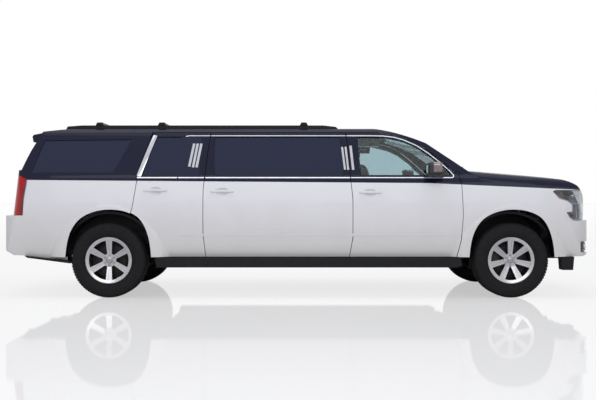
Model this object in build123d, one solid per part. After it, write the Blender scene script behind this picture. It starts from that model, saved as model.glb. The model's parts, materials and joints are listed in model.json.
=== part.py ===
"""Stretch limousine on a full-size estate-car chassis: three side doors a side,
hollow body, separate-frame chassis.  Millimetres, +X forward, +Z up, ground at z = 0,
origin midway between the bumpers.  The right-hand side is at negative Y.
"""
from build123d import *
from math import atan2, cos, degrees, radians, sin
import os

# ---- overall sizes ----
overall_length = 6553
wheelbase = 4318
front_overhang = 990
body_half_width = 1011        # widest point of the side, at side_bulge_z
sill_z = 438                  # lower edge of the doors
side_bulge_z = 830
sill_half_width = 930
belt_z = 1285                 # shoulder under the side windows
belt_half_width = 955
door_top_z = 1785             # upper shut line of the side doors
door_top_half_width = 772
roof_edge_half_width = 640
roof_edge_z = 1838
roof_crown_z = 1868

# ---- walls and gaps ----
door_thickness = 100
frame_thickness = 55         # walls above the belt and the roof
glass_thickness = 6
glass_recess = 7              # outer glass face below the body surface
glass_fit = 0.3               # between a pane and its frame
panel_gap = 7
fixed_fit = 0.3               # between fixed pieces that seat on each other
frame_gap = 7                 # between a closed door and the pillars behind it
pillar_depth = 48

# ---- nose and tail ----
nose_x = 3195                 # grille face on the centre line
nose_corner_radius = 330
nose_corner_x = 2810          # where the sides start to turn in
tail_x = -3130
tail_corner_radius = 180
tail_corner_x = -2909
bumper_front_reach = 37       # bumper corners ahead of the lamps
bumper_rear_reach = 82
hood_rear_z = 1372
cowl_x = 1990                 # rear edge of the hood
screen_base_x = 1975          # windscreen foot on the centre line
screen_base_z = 1336
screen_bulge = 145            # how far its middle stands ahead of its corners
screen_rake = 1.50            # rearward run for each unit of rise

# ---- wheels and chassis ----
tyre_diameter = 802
tyre_width = 265
rim_diameter = 497
rim_width = 222
track = 1740
front_spokes = 7
rear_spokes = 6
spoke_width = 54
arch_radius = 500             # wheelhouse lining
arch_half_width = 466         # opening in the side at its foot
arch_top_z = 947
liner_thickness = 25
liner_inner_y = 505
rear_liner_inner_y = 640
kingpin_y = 742
disc_radius = 165
disc_thickness = 28
rail_y = 430                  # centre of each frame rail
rail_width = 76
rail_height = 150
rail_z = 330                  # underside of the rails
floor_z = 500
floor_thickness = 40

front_axle_x = overall_length / 2 - front_overhang
rear_axle_x = front_axle_x - wheelbase
wheel_z = tyre_diameter / 2
wheel_y = track / 2
far = 4000                    # longer than the whole car


# ---- small helpers ----
def outline(points):
    return make_face(Polyline(*points, close=True))


def slab(face, y_left, y_right):
    """Side-view face (x, z) carried across the car from y_left to the lower y_right."""
    return extrude(Plane.XZ.offset(-y_left) * face, amount=y_left - y_right)


def block(x, y, z):
    """Box from three (low, high) pairs."""
    size = (x[1] - x[0], y[1] - y[0], z[1] - z[0])
    centre = ((x[0] + x[1]) / 2, (y[0] + y[1]) / 2, (z[0] + z[1]) / 2)
    return Pos(*centre) * Box(*size)


def rod(start, end, radius):
    start = Vector(*start)
    run = Vector(*end) - start
    return extrude(Plane(start, z_dir=run) * Circle(radius), amount=run.length)


def turned(profile, centre):
    """Half profile (radius, y) turned about the wheel axis through centre."""
    face = Plane.XY * outline(profile)
    return Pos(*centre) * revolve(face, Axis.Y)


def both_sides(right):
    return Compound(children=[right, mirror(right, about=Plane.XZ)])


def solids_of(*shapes):
    """One compound of all the solids in the given shapes."""
    found = []
    for shape in shapes:
        found += shape.solids()
    return Compound(children=found)


# ---- the body's outer form ----
def side_section(inset):
    """Cross-section: barrel side, shoulder, tumblehome and crowned roof."""
    side_shift = 0.95 * inset
    top = (door_top_half_width - side_shift, door_top_z - inset)
    edge = (roof_edge_half_width - side_shift, roof_edge_z - inset)
    half = Curve() + [
        Line((0, sill_z), (sill_half_width - inset, sill_z)),
        ThreePointArc((sill_half_width - inset, sill_z), (body_half_width - inset, side_bulge_z),
                      (belt_half_width - inset, belt_z)),
        ThreePointArc((belt_half_width - inset, belt_z), (878 - 0.98 * inset, 1540 - inset / 2), top),
        ThreePointArc(top, (728 - side_shift, 1821 - inset), edge),
    ]
    crown = ThreePointArc(edge, (0, roof_crown_z - inset), (-edge[0], edge[1]))
    return make_face(half + mirror(half, Plane.YZ) + crown)


def shoulder_section(inset):
    """Hood and fender tops seen from the front where the hood starts: crowned, with soft
    shoulders."""
    top, low = 1468 - inset, 1290 - inset
    half = Curve() + [
        ThreePointArc((0, top), (450 - inset / 2, top - 8), (850 - inset, top - 36)),
        ThreePointArc((850 - inset, top - 36), (925 - inset, top - 62), (956 - inset, top - 120)),
        Polyline((956 - inset, top - 120), (1040 - inset, low), (1300, 0), (0, 0)),
    ]
    return make_face(half + mirror(half, Plane.YZ))


def plan_outline(inset, nose=0, tail=0, corner_in=0):
    """Plan view with round corners; nose and tail move the ends outwards."""
    w = body_half_width + 4 - inset
    front_r = nose_corner_radius - inset
    rear_r = tail_corner_radius - inset
    fx = nose_corner_x + nose
    rx = tail_corner_x - tail
    k = cos(radians(45))
    front_end = nose_x + nose + corner_in - inset
    rear_end = tail_x - tail - corner_in + inset
    edges = [
        Line((rx, w), (fx, w)),
        ThreePointArc((fx, w), (fx + front_r * k, w - front_r + front_r * k),
                      (fx + front_r, w - front_r)),
        ThreePointArc((fx + front_r, w - front_r), (front_end, 0), (fx + front_r, front_r - w)),
        ThreePointArc((fx + front_r, front_r - w), (fx + front_r * k, front_r - w - front_r * k),
                      (fx, -w)),
        Line((fx, -w), (rx, -w)),
        ThreePointArc((rx, -w), (rx - rear_r * k, rear_r - w - rear_r * k),
                      (rx - rear_r, rear_r - w)),
        ThreePointArc((rx - rear_r, rear_r - w), (rear_end, 0), (rx - rear_r, w - rear_r)),
        ThreePointArc((rx - rear_r, w - rear_r), (rx - rear_r * k, w - rear_r + rear_r * k),
                      (rx, w)),
    ]
    return make_face(Curve() + edges)


def leaning(face, z, lean, up, down):
    """A plan outline at height z carried up and down along a line that leans lean per unit rise."""
    way = Vector(lean, 0, 1)
    foot = Pos(-lean * down, 0, z - down) * face
    return extrude(foot, amount=(up + down) * way.length, dir=way)


# crest of the hood and nose in side view: x, z, and the way its inside lies, for each unit of depth
hood_crest = [(1800, hood_rear_z, 0, 1), (2500, 1328, 0.07, 1), (2800, 1284, 0.15, 0.99),
              (2920, 1250, 0.30, 0.95), (3000, 1207, 0.50, 0.86), (3062, 1147, 0.75, 0.66),
              (3108, 1070, 0.88, 0.48), (3154, 960, 0.92, 0.39), (3205, 805, 0.94, 0.34)]
tail_lean_low = 0.12
tail_lean_high = 0.50
tail_knee_z = 1306
roof_fall_x = 250


def body_form(inset):
    """Closed outer form of the whole body, moved inwards by inset."""
    section = extrude(Plane.YZ.offset(-far) * side_section(inset), amount=2 * far)
    plan = plan_outline(inset)
    crest = [(x - dx * inset, z - dz * inset) for x, z, dx, dz in hood_crest]
    foot = crest[-1]
    hood_line = make_face(Curve() + [
        Spline(*crest, tangents=[(1, -0.03), (0.33, -1)]),
        Polyline(foot, (far, foot[1]), (far, 0), (-far, 0), (-far, crest[0][1]), crest[0]),
    ])
    lower = section & leaning(plan, 892, tail_lean_low, 600, 500) & slab(hood_line, far, -far)
    fall = Vector(1, 0, -0.085)
    shoulder = extrude(Plane.YZ.offset(1000) * shoulder_section(inset), amount=2500 * fall.length,
                       dir=fall)
    lower = lower & (shoulder + block((-far, 1000), (-far, far), (0, 3000)))
    upright_nose = extrude(plan, amount=3000) + block((-far, 1000), (-far, far), (0, 3000))
    lower = lower & upright_nose
    corner = screen_base_x - screen_bulge
    screen = make_face(Curve() + [
        ThreePointArc((corner - inset, -1100), (screen_base_x - inset, 0), (corner - inset, 1100)),
        Polyline((corner - inset, 1100), (-far, 1100), (-far, -1100), (corner - inset, -1100)),
    ])
    upper = section & leaning(screen, screen_base_z, -screen_rake, 700, 700)
    upper = upper & leaning(plan, 892, tail_lean_low, 1200, 500)
    knee_plan = Pos((tail_knee_z - 892) * tail_lean_low, 0, 0) * plan
    upper = upper & leaning(knee_plan, tail_knee_z, tail_lean_high, 700, 900)
    roof_line = make_face(Curve() + [
        ThreePointArc((roof_fall_x, 1869 - inset), (820, 1840 - inset), (1300, 1708 - inset)),
        Polyline((1300, 1708 - inset), (2600, 1180 - inset), (2600, 1100), (-far, 1100),
                 (-far, 1690 - inset), (-3080, 1758 - inset)),
        ThreePointArc((-3080, 1758 - inset), (-2500, 1835 - inset), (-1700, 1869 - inset)),
        Line((-1700, 1869 - inset), (roof_fall_x, 1869 - inset)),
    ])
    return lower + (upper & slab(roof_line, far, -far))


def skin_half_width(z):
    """Half width of the body side at height z."""
    if z >= belt_z:
        t = (z - belt_z) / (door_top_z - belt_z)
        return belt_half_width + t * (door_top_half_width - belt_half_width)
    low_side = z < side_bulge_z
    end_z, end_width = (sill_z, sill_half_width) if low_side else (belt_z, belt_half_width)
    t = (z - side_bulge_z) / (end_z - side_bulge_z)
    return body_half_width - t * t * (body_half_width - end_width)


def ahead_of_edge(edge, slope):
    """All that lies ahead of a door's rear edge.  The edge runs forward as it goes inwards,
    so that it clears its neighbour while the door swings out."""
    start = body_half_width + 90
    face = outline([(x - slope * (start - skin_half_width(z)), z) for x, z in edge]
                   + [(far, edge[-1][1]), (far, edge[0][1])])
    way = Vector(slope, 1, 0)
    return extrude(Plane.XZ.offset(start) * face, amount=750 * way.length, dir=way)


def flare(x):
    """Shallow ring that swells the side round the right-hand wheel opening at x."""
    crest = body_half_width + flare_height
    profile = [(200, 850 - crest), (200, 0), (arch_half_width + 25, 0), (arch_half_width + 62, 8),
               (arch_half_width + 110, 30), (arch_half_width + 220, 110), (arch_half_width + 220, 200)]
    ring = turned([(r, y) for r, y in profile[1:]] + [(200, 200)], (0, 0, 0))
    ring = Pos(x, -crest, arch_top_z - arch_half_width) * ring
    return ring & block((-far, far), (-far, far), (sill_z, 2000))


def side_groove():
    """Shallow facet along the right-hand doors, fading out in the rear door."""
    depth, low, high = 8, 687, 775
    face = outline([(-skin_half_width(low) + depth, low), (-skin_half_width(high), high),
                    (-1200, high), (-1200, low)])
    ahead = extrude(Plane.YZ.offset(-1060) * face, amount=1760 - -1060)
    way = Vector(-1, -depth / 260, 0)
    return ahead + extrude(Plane.YZ.offset(-1060) * face, amount=270 * way.length, dir=way)


def handle(x, z):
    """Pull handle with two feet on the right-hand skin, and its finger scoop."""
    y = -skin_half_width(z)
    bar = Pos(x, y - 27, z) * Box(250, 18, 26)
    bar = fillet(bar.edges(), 7)
    for side in (-1, 1):
        bar = bar + Pos(x + side * 96, y, z) * Box(34, 60, 20)
    scoop = Pos(x, y - 60, z - 6) * scale(Sphere(92), by=(1, 1, 0.55))
    return bar, scoop


# ---- side view outlines, as (x, z) on the skin ----
rear_seam = [(-1800, 880), (-1770, 990), (-1753, 1103), (-1732, 1253), (-1742, 1318)]
rear_seam_top = (-1590, 1760)
middle_seam = [(-993, 430), (-1017, 684), (-1017, 1167), (-1003, 1302), (-979, 1558)]
front_seam = [(553, 430), (588, 640), (588, 1054), (564, 1302), (545, 1558)]
fender_seam = [(1700, 430), (1751, 630), (1768, 888), (1758, 1210), (1738, 1300)]
top_z = door_top_z
middle_top_x = -955
front_top_x = 525
windscreen_side = [(1663, 1365), (1555, 1458), (1428, 1565), (1295, 1658), (1160, 1722)]
door_front_top = (900, door_top_z)
handle_places = {"rear": (-1528, 1156), "middle": (-812, 1146), "front": (776, 1134)}
flare_height = 6
arch_points = [(-1.0, 0.0), (-0.955, 0.36), (-0.86, 0.63), (-0.67, 0.83), (-0.40, 0.945), (0.0, 1.0),
               (0.40, 0.965), (0.68, 0.86), (0.87, 0.64), (0.955, 0.38), (1.0, 0.0)]


def arch_cut(x, grow=0):
    """Wheel opening in the side: a flat-topped arch over the wheel at x."""
    half = arch_half_width + grow
    foot = sill_z - 140
    rise = arch_top_z + grow - foot
    points = [(x + half * u, foot + rise * v) for u, v in arch_points]
    return make_face(Curve() + [
        Spline(*points), Polyline(points[-1], (x + half, 0), (x - half, 0), points[0])])


def shifted(points, dx, dz=0):
    return [(x + dx, z + dz) for x, z in points]


# rear edge first, bottom to top, then front edge, top to bottom
door_outlines = {
    "rear": shifted(rear_seam, panel_gap / 2) + [(rear_seam_top[0] + panel_gap / 2, top_z)]
    + [(middle_top_x - panel_gap / 2, top_z)] + shifted(middle_seam, -panel_gap / 2)[::-1]
    + [(-1700, 430)],
    "middle": shifted(middle_seam, panel_gap / 2) + [(middle_top_x + panel_gap / 2, top_z)]
    + [(front_top_x - panel_gap / 2, top_z)] + shifted(front_seam, -panel_gap / 2)[::-1],
    "front": shifted(front_seam, panel_gap / 2) + [(front_top_x + panel_gap / 2, top_z)]
    + [door_front_top] + windscreen_side[::-1] + shifted(fender_seam, -panel_gap / 2)[::-1],
}
# hinge x, and how far the rear edge runs forward for each unit of depth
door_hinges = {"rear": (-1025, 0.66), "middle": (570, 0.32), "front": (1748, 0.38)}
hinge_heights = (620, 1060)
window_bar_width = 42          # least width of a door frame's rear bar, edge to window
door_rear_edges = {
    "rear": shifted([(-1860, 300)] + rear_seam + [rear_seam_top, (-1580, 1800)], panel_gap / 2),
    "middle": shifted([(-985, 300)] + middle_seam + [(middle_top_x, 1800)], panel_gap / 2),
    "front": shifted([(540, 300)] + front_seam + [(front_top_x, 1800)], panel_gap / 2),
}
window_outlines = {
    "rear": [(-1686, 1310), (-1538, 1745), (-1045, 1745), (-1060, 1310)],
    "middle": [(-905, 1310), (-912, 1745), (462, 1745), (500, 1310)],
    "front": [(672, 1310), (640, 1745), (930, 1742), (1150, 1690), (1285, 1628), (1415, 1537),
              (1540, 1432), (1640, 1345), (1640, 1310)],
}
quarter_window = [(-2872, 1345), (-2765, 1700), (-1815, 1712), (-1955, 1415), (-2000, 1345)]


hood_half_width = 790
hood_thickness = 45
hood_front_z = 1180
lamp_inner_y = 600
bumper_top_z = 828
grille_slots = 6
grille_border = 34
lamp_outline = [(2729, 1142), (2790, 1065), (2880, 1036), (2932, 1000), (2940, 925), (2870, 918),
                (2905, 862), (2960, bumper_top_z + 2 * fixed_fit), (3400, bumper_top_z + 2 * fixed_fit),
                (3400, 1156), (2760, 1156)]
bumper_seam_x = 2778
plate_z = 600
plate_hole_spacing = 178
plate_hole_radius = 3.5
tail_lamp_outline = [(-3400, 884.3), (-2942, 884.3), (-2928, 1160), (-2912, 1268), (-2985, 1308),
                     (-3400, 1308)]
tail_lamp_inner_y = 804
rear_bumper_outline = [(-3400, 884), (-2915, 878), (-2602, 817), (-2440, 800), (-2440, 395),
                       (-2940, 450), (-3060, 455), (-3170, 520), (-3400, 700)]
tailgate_outline = [(797, 891), (797, 1290), (690, 1775), (690, 1900), (-690, 1900), (-690, 1775),
                    (-797, 1290), (-797, 891)]
spoiler_outline = [(-2716, 1700), (-2716, 1806), (-2760, 1804), (-2925, 1772), (-2942, 1752),
                   (-2930, 1690), (-2905, 1686), (-2890, 1700)]
tailgate_top_x = -2700
gate_lip = 25                 # thickness of the tailgate's outer edge
gate_step = 10                # its inner panel is narrower by this much a side
gate_top_half = 684
gate_relief_x = -2868
door_inner_y = 690            # doors and quarter panels end here under the roof
roof_low_z = door_top_z + panel_gap
pillar_foot_z = 1347
header_z = 1640               # the pillars end here, under the rail along the roof
cowl_top_z = 1376
tailgate_window = [(700, 1345), (600, 1690), (-600, 1690), (-700, 1345)]
windscreen_outline = [(-790, 1385), (790, 1385), (640, 1782), (-640, 1782)]


def grown(face, gap):
    return offset(face, amount=gap, kind=Kind.INTERSECTION)


def wheel_parts(spokes):
    """Tyre and rim for a right-hand wheel centred on the origin, outside at negative Y."""
    r_out, r_rim, half_t, half_r = tyre_diameter / 2, rim_diameter / 2, tyre_width / 2, rim_width / 2
    seat = r_rim - 20
    bead = half_r - 14 - glass_fit
    tyre_profile = [(seat + glass_fit, -bead), (r_rim + glass_fit, -bead), (r_rim + 12, -half_r + 2),
                    (r_rim + 60, -half_t), (r_out - 50, -half_t), (r_out - 12, -half_t + 22),
                    (r_out, -half_t + 50), (r_out, half_t - 50), (r_out - 12, half_t - 22),
                    (r_out - 50, half_t), (r_rim + 60, half_t), (r_rim + 12, half_r - 2),
                    (r_rim + glass_fit, bead), (seat + glass_fit, bead)]
    tyre = turned(tyre_profile, (0, 0, 0))
    barrel = turned([(seat, half_r - 14), (r_rim, half_r - 12), (r_rim, half_r), (seat - 15, half_r),
                     (seat - 15, -half_r + 8), (r_rim - 8, -half_r), (r_rim, -half_r),
                     (r_rim, -half_r + 12), (seat, -half_r + 14)], (0, 0, 0))
    face_y = -half_r + 34
    hub = turned([(30.3, face_y + 8), (72, face_y + 8), (80, face_y + 30), (72, face_y + 60),
                  (72, 20), (disc_radius, 20), (disc_radius, 20 + disc_thickness),
                  (30.3, 20 + disc_thickness)], (0, 0, 0))
    lip_y = -half_r + 12
    dish = turned([(62, face_y + 12), (r_rim - 36, lip_y + 4), (r_rim - 24, lip_y),
                   (r_rim - 24, lip_y + 46), (62, face_y + 54)], (0, 0, 0))
    rim = barrel + hub
    for i in range(spokes):
        spoke = outline([(-spoke_width / 2 + 4, 55), (spoke_width / 2 - 4, 55),
                         (spoke_width / 2 + 8, r_rim - 20), (-spoke_width / 2 - 8, r_rim - 20)])
        groove = outline([(-6, 110), (6, 110), (17, r_rim - 20), (-17, r_rim - 20)])
        arm = extrude(Plane.XZ.offset(-100) * spoke, amount=220) & dish
        sunk = extrude(Plane.XZ.offset(-100) * groove, amount=220) & (Pos(0, -7, 0) * dish)
        rim = rim + Rot(0, 360 / spokes * i, 0) * (arm - (sunk - Pos(0, 7, 0) * dish))
    return tyre, rim


def through(points, x_low, x_high):
    """Outline seen from the front (y, z) carried along the car."""
    return extrude(Plane.YZ.offset(x_low) * outline(points), amount=x_high - x_low)


def build():
    bulges = flare(front_axle_x) + flare(rear_axle_x)
    outer = body_form(0) + bulges + mirror(bulges, about=Plane.XZ)
    inner = body_form(door_thickness)
    upper_inner = body_form(frame_thickness)
    above_belt = block((-far, far), (-far, far), (belt_z - 10, 3000))
    wall = ((outer - inner) - above_belt) + ((outer - upper_inner) & above_belt)
    glass_band = body_form(glass_recess) - body_form(glass_recess + glass_thickness)
    right = block((-far, far), (-far, -1), (0, 3000))
    right_wall = wall & right
    right_glass = glass_band & right
    groove = side_groove()
    parts = {}

    # doors and their panes
    for place, points in door_outlines.items():
        hinge_x, edge_slope = door_hinges[place]
        door = right_wall & slab(outline(points), -door_inner_y, -far)
        if place == "rear":
            door = door - slab(arch_cut(rear_axle_x, panel_gap), far, -far)
        door = door & ahead_of_edge(door_rear_edges[place], edge_slope)
        window = outline(window_outlines[place])
        bar_edge = shifted(door_rear_edges[place], window_bar_width)
        opening = slab(window, 0, -far) & ahead_of_edge(bar_edge, edge_slope)
        door = door - opening - groove
        pull, scoop = handle(*handle_places[place])
        door = (door - scoop) + pull
        pane = right_glass & slab(grown(window, -glass_fit), 0, -far)
        pane = pane & ahead_of_edge(shifted(bar_edge, 1.5 * glass_fit), edge_slope)
        parts[f"door_{place}_right"] = door
        parts[f"door_{place}_left"] = mirror(door, about=Plane.XZ)
        parts[f"glass_{place}_right"] = pane
        parts[f"glass_{place}_left"] = mirror(pane, about=Plane.XZ)

    # hood, and the cowl it is hinged to
    half = hood_half_width
    fixed_half = half + panel_gap
    hood_shell = outer - body_form(hood_thickness)
    parts["hood"] = hood_shell & block((cowl_x + panel_gap, far), (-half, half), (hood_front_z, 1500))
    cowl_half = fixed_half - fixed_fit
    cowl = (outer - body_form(70)) & block((1790, cowl_x), (-cowl_half, cowl_half), (1200, cowl_top_z))
    for y in (-560, 560):
        cowl = cowl + block((cowl_x - 10, cowl_x + panel_gap - fixed_fit), (y - 40, y + 40),
                            (1300, cowl_top_z - 46))
    parts["cowl"] = cowl

    # front fenders and headlamps
    seam = shifted(fender_seam, panel_gap / 2)
    fender_low = bumper_top_z + fixed_fit
    fender = right_wall & slab(outline(seam + [(1748, 1500), (3400, 1500), (3400, fender_low),
                                              (bumper_seam_x, fender_low), (bumper_seam_x, 430)]),
                               0, -far)
    fender = fender - block((1700, far), (-fixed_half, fixed_half), (0, 2000))
    fender = fender - slab(arch_cut(front_axle_x), far, -far)
    fender = fender - slab(grown(outline(lamp_outline), fixed_fit), far, -far)
    pillar_foot_x = cowl_x - 27
    fender = fender - block((1000, pillar_foot_x + fixed_fit), (-far, far), (pillar_foot_z - fixed_fit, 2000))
    parts["front_fenders"] = both_sides(fender)
    lamp = (outer - inner) & right & slab(outline(lamp_outline), -lamp_inner_y, -far)
    parts["headlamps"] = both_sides(lamp)

    # grille between the lamps: a frame and its crossbars
    grille_half = lamp_inner_y - fixed_fit
    grille_low, grille_high = bumper_top_z + fixed_fit, hood_front_z - panel_gap
    grille = (outer - body_form(60)) & block((2900, far), (-grille_half, grille_half),
                                             (grille_low, grille_high))
    pitch = (grille_high - grille_low - 2 * grille_border) / grille_slots
    for i in range(grille_slots):
        low = grille_low + grille_border + i * pitch
        grille = grille - block((2900, far), (-540, 540), (low + 8, low + pitch - 8))
    parts["grille"] = grille

    # bumpers
    section = extrude(Plane.YZ.offset(-far) * side_section(0), amount=2 * far)
    low_section = extrude(Plane.YZ.offset(-far) * bumper_section(), amount=2 * far)
    reach_front = overall_length / 2 - nose_x - bumper_front_reach
    reach_rear = overall_length / 2 + tail_x - bumper_rear_reach
    front_out = section & extrude(plan_outline(0, bumper_front_reach, 0, reach_front), amount=2000)
    front_in = extrude(plan_outline(90, bumper_front_reach, 0, reach_front), amount=2000)
    front_clear = extrude(plan_outline(90 + fixed_fit, bumper_front_reach, 0, reach_front), amount=2000)
    seam_x = bumper_seam_x + fixed_fit
    face = make_face(Curve() + [
        Polyline((3300, bumper_top_z), (seam_x, bumper_top_z), (seam_x, 442), (3060, 442), (3150, 462)),
        ThreePointArc((3150, 462), (3246, 520), (3276, 600)),
        Polyline((3276, 600), (3300, 640), (3300, bumper_top_z)),
    ])
    bumper = (front_out + (flare(front_axle_x) + mirror(flare(front_axle_x), about=Plane.XZ)))
    bumper = (bumper & slab(face, far, -far)) - front_in
    bumper = bumper - slab(arch_cut(front_axle_x), far, -far)
    for y in (-plate_hole_spacing / 2, plate_hole_spacing / 2):
        bumper = bumper - rod((3000, y, plate_z), (3400, y, plate_z), plate_hole_radius)
    recess_back = extrude(plan_outline(60, bumper_front_reach, 0, reach_front), amount=2000)
    recess = through([(-470, 468), (470, 468), (430, 560), (-430, 560)], 3000, 3400)
    for side in (-1, 1):
        recess = recess + through([(side * 590, 478), (side * 920, 478), (side * 905, 602),
                                   (side * 640, 602)], 3000, 3400)
    parts["bumper_front"] = bumper - (recess - recess_back)
    inserts = recess & (extrude(plan_outline(30, bumper_front_reach, 0, reach_front), amount=2000)
                        - extrude(plan_outline(60 - fixed_fit, bumper_front_reach, 0, reach_front),
                                  amount=2000))
    for z in (492, 516, 540, 564, 588):
        inserts = inserts - (block((3000, 3400), (-far, far), (z - 7, z + 7))
                             - extrude(plan_outline(46, bumper_front_reach, 0, reach_front), amount=2000))
    parts["bumper_inserts"] = inserts
    rear_out = low_section & extrude(plan_outline(0, 0, bumper_rear_reach, reach_rear), amount=2000)
    rear_in = extrude(plan_outline(150, 0, bumper_rear_reach, reach_rear), amount=2000)
    rear_in = rear_in + block((-2900, far), (-906, 906), (0, 2000))
    rear_clear = extrude(plan_outline(150 + fixed_fit, 0, bumper_rear_reach, reach_rear), amount=2000)
    swell = flare(rear_axle_x) + mirror(flare(rear_axle_x), about=Plane.XZ)
    bumper = ((rear_out + swell) & slab(outline(rear_bumper_outline), far, -far)) - rear_in
    bumper = bumper - slab(arch_cut(rear_axle_x), far, -far)
    parts["bumper_rear"] = bumper - block((-2600, far), (-far, far), (840, 1000))

    # quarter panels and tail lamps
    lift = fixed_fit
    quarter_outline = outline(
        shifted(rear_seam, -panel_gap / 2)
        + [(rear_seam_top[0] - panel_gap / 2, roof_low_z - lift)]
        + [(-3400, roof_low_z - lift)] + shifted(rear_bumper_outline[:4], 0, lift) + [(-2440, 700), (-1800, 700)])
    gate_grown = grown(outline(tailgate_outline), panel_gap)
    gate_cut = extrude(Plane.YZ.offset(-far) * gate_grown, amount=far + tailgate_top_x + panel_gap)
    quarter = right_wall & slab(quarter_outline, -door_inner_y, -far)
    quarter = quarter - slab(arch_cut(rear_axle_x), far, -far) - gate_cut
    quarter = quarter - slab(grown(outline(tail_lamp_outline), fixed_fit), 0, -far)
    window = outline(quarter_window)
    quarter = quarter - slab(window, 0, -far)
    parts["quarter_panels"] = both_sides(quarter)
    pane = right_glass & slab(grown(window, -glass_fit), 0, -far)
    parts["quarter_glass"] = both_sides(pane)
    lamp = (outer - inner) & right & slab(outline(tail_lamp_outline), -tail_lamp_inner_y, -far)
    parts["tail_lamps"] = both_sides(lamp)

    # tailgate, its pane and the spoiler over it
    gate_block = extrude(Plane.YZ.offset(-far) * outline(tailgate_outline), amount=far + tailgate_top_x)
    spoiler = slab(outline(spoiler_outline), 684, -684)
    window = through(tailgate_window, -far, -2500)
    step_in = extrude(Plane.YZ.offset(-far) * grown(outline(tailgate_outline), -gate_step),
                      amount=far + tailgate_top_x)
    gate = (wall & gate_block) - (body_form(gate_lip) & (gate_block - step_in))
    for y in ((gate_top_half, far), (-far, -gate_top_half)):
        gate = gate - block((gate_relief_x, far), y, (1560, 1800))
    parts["tailgate"] = (gate - window) + (spoiler - upper_inner)
    pane_cut = extrude(Plane.YZ.offset(-far) * grown(outline(tailgate_window), -glass_fit), amount=1500)
    parts["tailgate_glass"] = glass_band & pane_cut

    # roof with the windscreen pillars
    pillar_edge = shifted(windscreen_side, panel_gap, panel_gap)
    roof_outline = outline(
        [(-3200, roof_low_z), (door_front_top[0], roof_low_z)] + pillar_edge[::-1]
        + [(1748, pillar_foot_z), (pillar_foot_x, pillar_foot_z), (pillar_foot_x, 2000), (-3200, 2000)])
    roof_inner_y = door_inner_y - panel_gap
    middle = block((-far, 900), (-roof_inner_y, roof_inner_y), (1600, 2000))
    roof = (outer - upper_inner) & (slab(roof_outline, far, -far) + middle)
    roof = roof - block((1748, far), (-fixed_half, fixed_half), (0, cowl_top_z + fixed_fit))
    roof = roof - through(windscreen_outline, 900, 2100) - gate_cut
    for y in (-430, 430):
        leaf = block((tailgate_top_x + fixed_fit, tailgate_top_x + panel_gap + 20), (y - 60, y + 60),
                     (1760, 1790))
        roof = roof + leaf
    parts["roof"] = roof
    pane_cut = extrude(Plane.YZ.offset(900) * grown(outline(windscreen_outline), -glass_fit),
                       amount=1300)
    parts["windshield"] = glass_band & pane_cut

    # sills, pillars and cant rails behind the doors
    low_clear = body_form(door_thickness + frame_gap)
    deep = body_form(door_thickness + frame_gap + pillar_depth)
    high_clear = body_form(frame_thickness + frame_gap)
    below = block((-far, far), (-far, -500), (0, belt_z + 5))
    over = block((-far, far), (-far, -500), (belt_z + 5, 3000))
    band = ((low_clear - deep) & below) + ((high_clear - deep) & over)
    frame = band & slab(outline([(-1700, 470), (1735, 470), (1735, 1290), (1560, 1400), (1100, 1690),
                                 (900, 1712), (880, 1840), (-2650, 1840), (-2650, 1700), (-1700, 1700),
                                 (-1700, 1300)]), -400, -far)
    frame = frame & block((-far, far), (-far, -520), (0, 2000))
    frame = frame - (block((-far, far), (-far, -roof_inner_y), (door_top_z, 2000)))
    for place, points in door_outlines.items():
        frame = frame - slab(grown(outline(points), -58), -400, -far)
    frame = frame - slab(arch_cut(rear_axle_x, 40), far, -far)
    under_roof = body_form(frame_thickness + fixed_fit)
    cant = (under_roof - deep) & block((-2650, 900), (-roof_inner_y, -520), (header_z, 1900))
    header = (frame & block((-far, 900), (-far, 0), (header_z, 2000))) + cant
    frame = frame & block((-far, far), (-far, 0), (0, header_z - fixed_fit))
    door_side = body_form(door_thickness + fixed_fit) - body_form(door_thickness + frame_gap + 1)
    for hinge_x, edge_slope in door_hinges.values():
        for z in hinge_heights:
            leaf = block((hinge_x - 78, hinge_x - 22), (-far, -500), (z - 45, z + 45))
            frame = frame + (door_side & leaf)
    sill = block((-1520, 1690), (-sill_outer_y, -700), (380, floor_z))
    parts["side_frames"] = solids_of(both_sides(frame + sill), both_sides(header))

    parts.update(chassis(inner, low_clear, front_clear, rear_clear))
    parts.update(cabin_fittings())
    parts.update(outside_fittings(outer))
    parts.update(running_gear())
    return parts


def bumper_section():
    """Rear bumper's cross-section: fuller at its foot than the body side."""
    half = Curve() + [Line((0, 380), (905, 380)),
                      ThreePointArc((905, 380), (body_half_width, side_bulge_z), (970, 1200)),
                      Line((970, 1200), (0, 1200))]
    return make_face(half + mirror(half, Plane.YZ))


def wheelhouse(x, inner_y):
    """Half-round lining over a right-hand wheel, from inner_y outwards."""
    r = arch_radius
    ring = Circle(r + liner_thickness) - Circle(r)
    tube = extrude(Plane.XZ.offset(inner_y) * ring, amount=400)
    tube = Pos(x, 0, wheel_z) * tube
    return tube & block((-far, far), (-far, far), (floor_z + 60, far))


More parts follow.
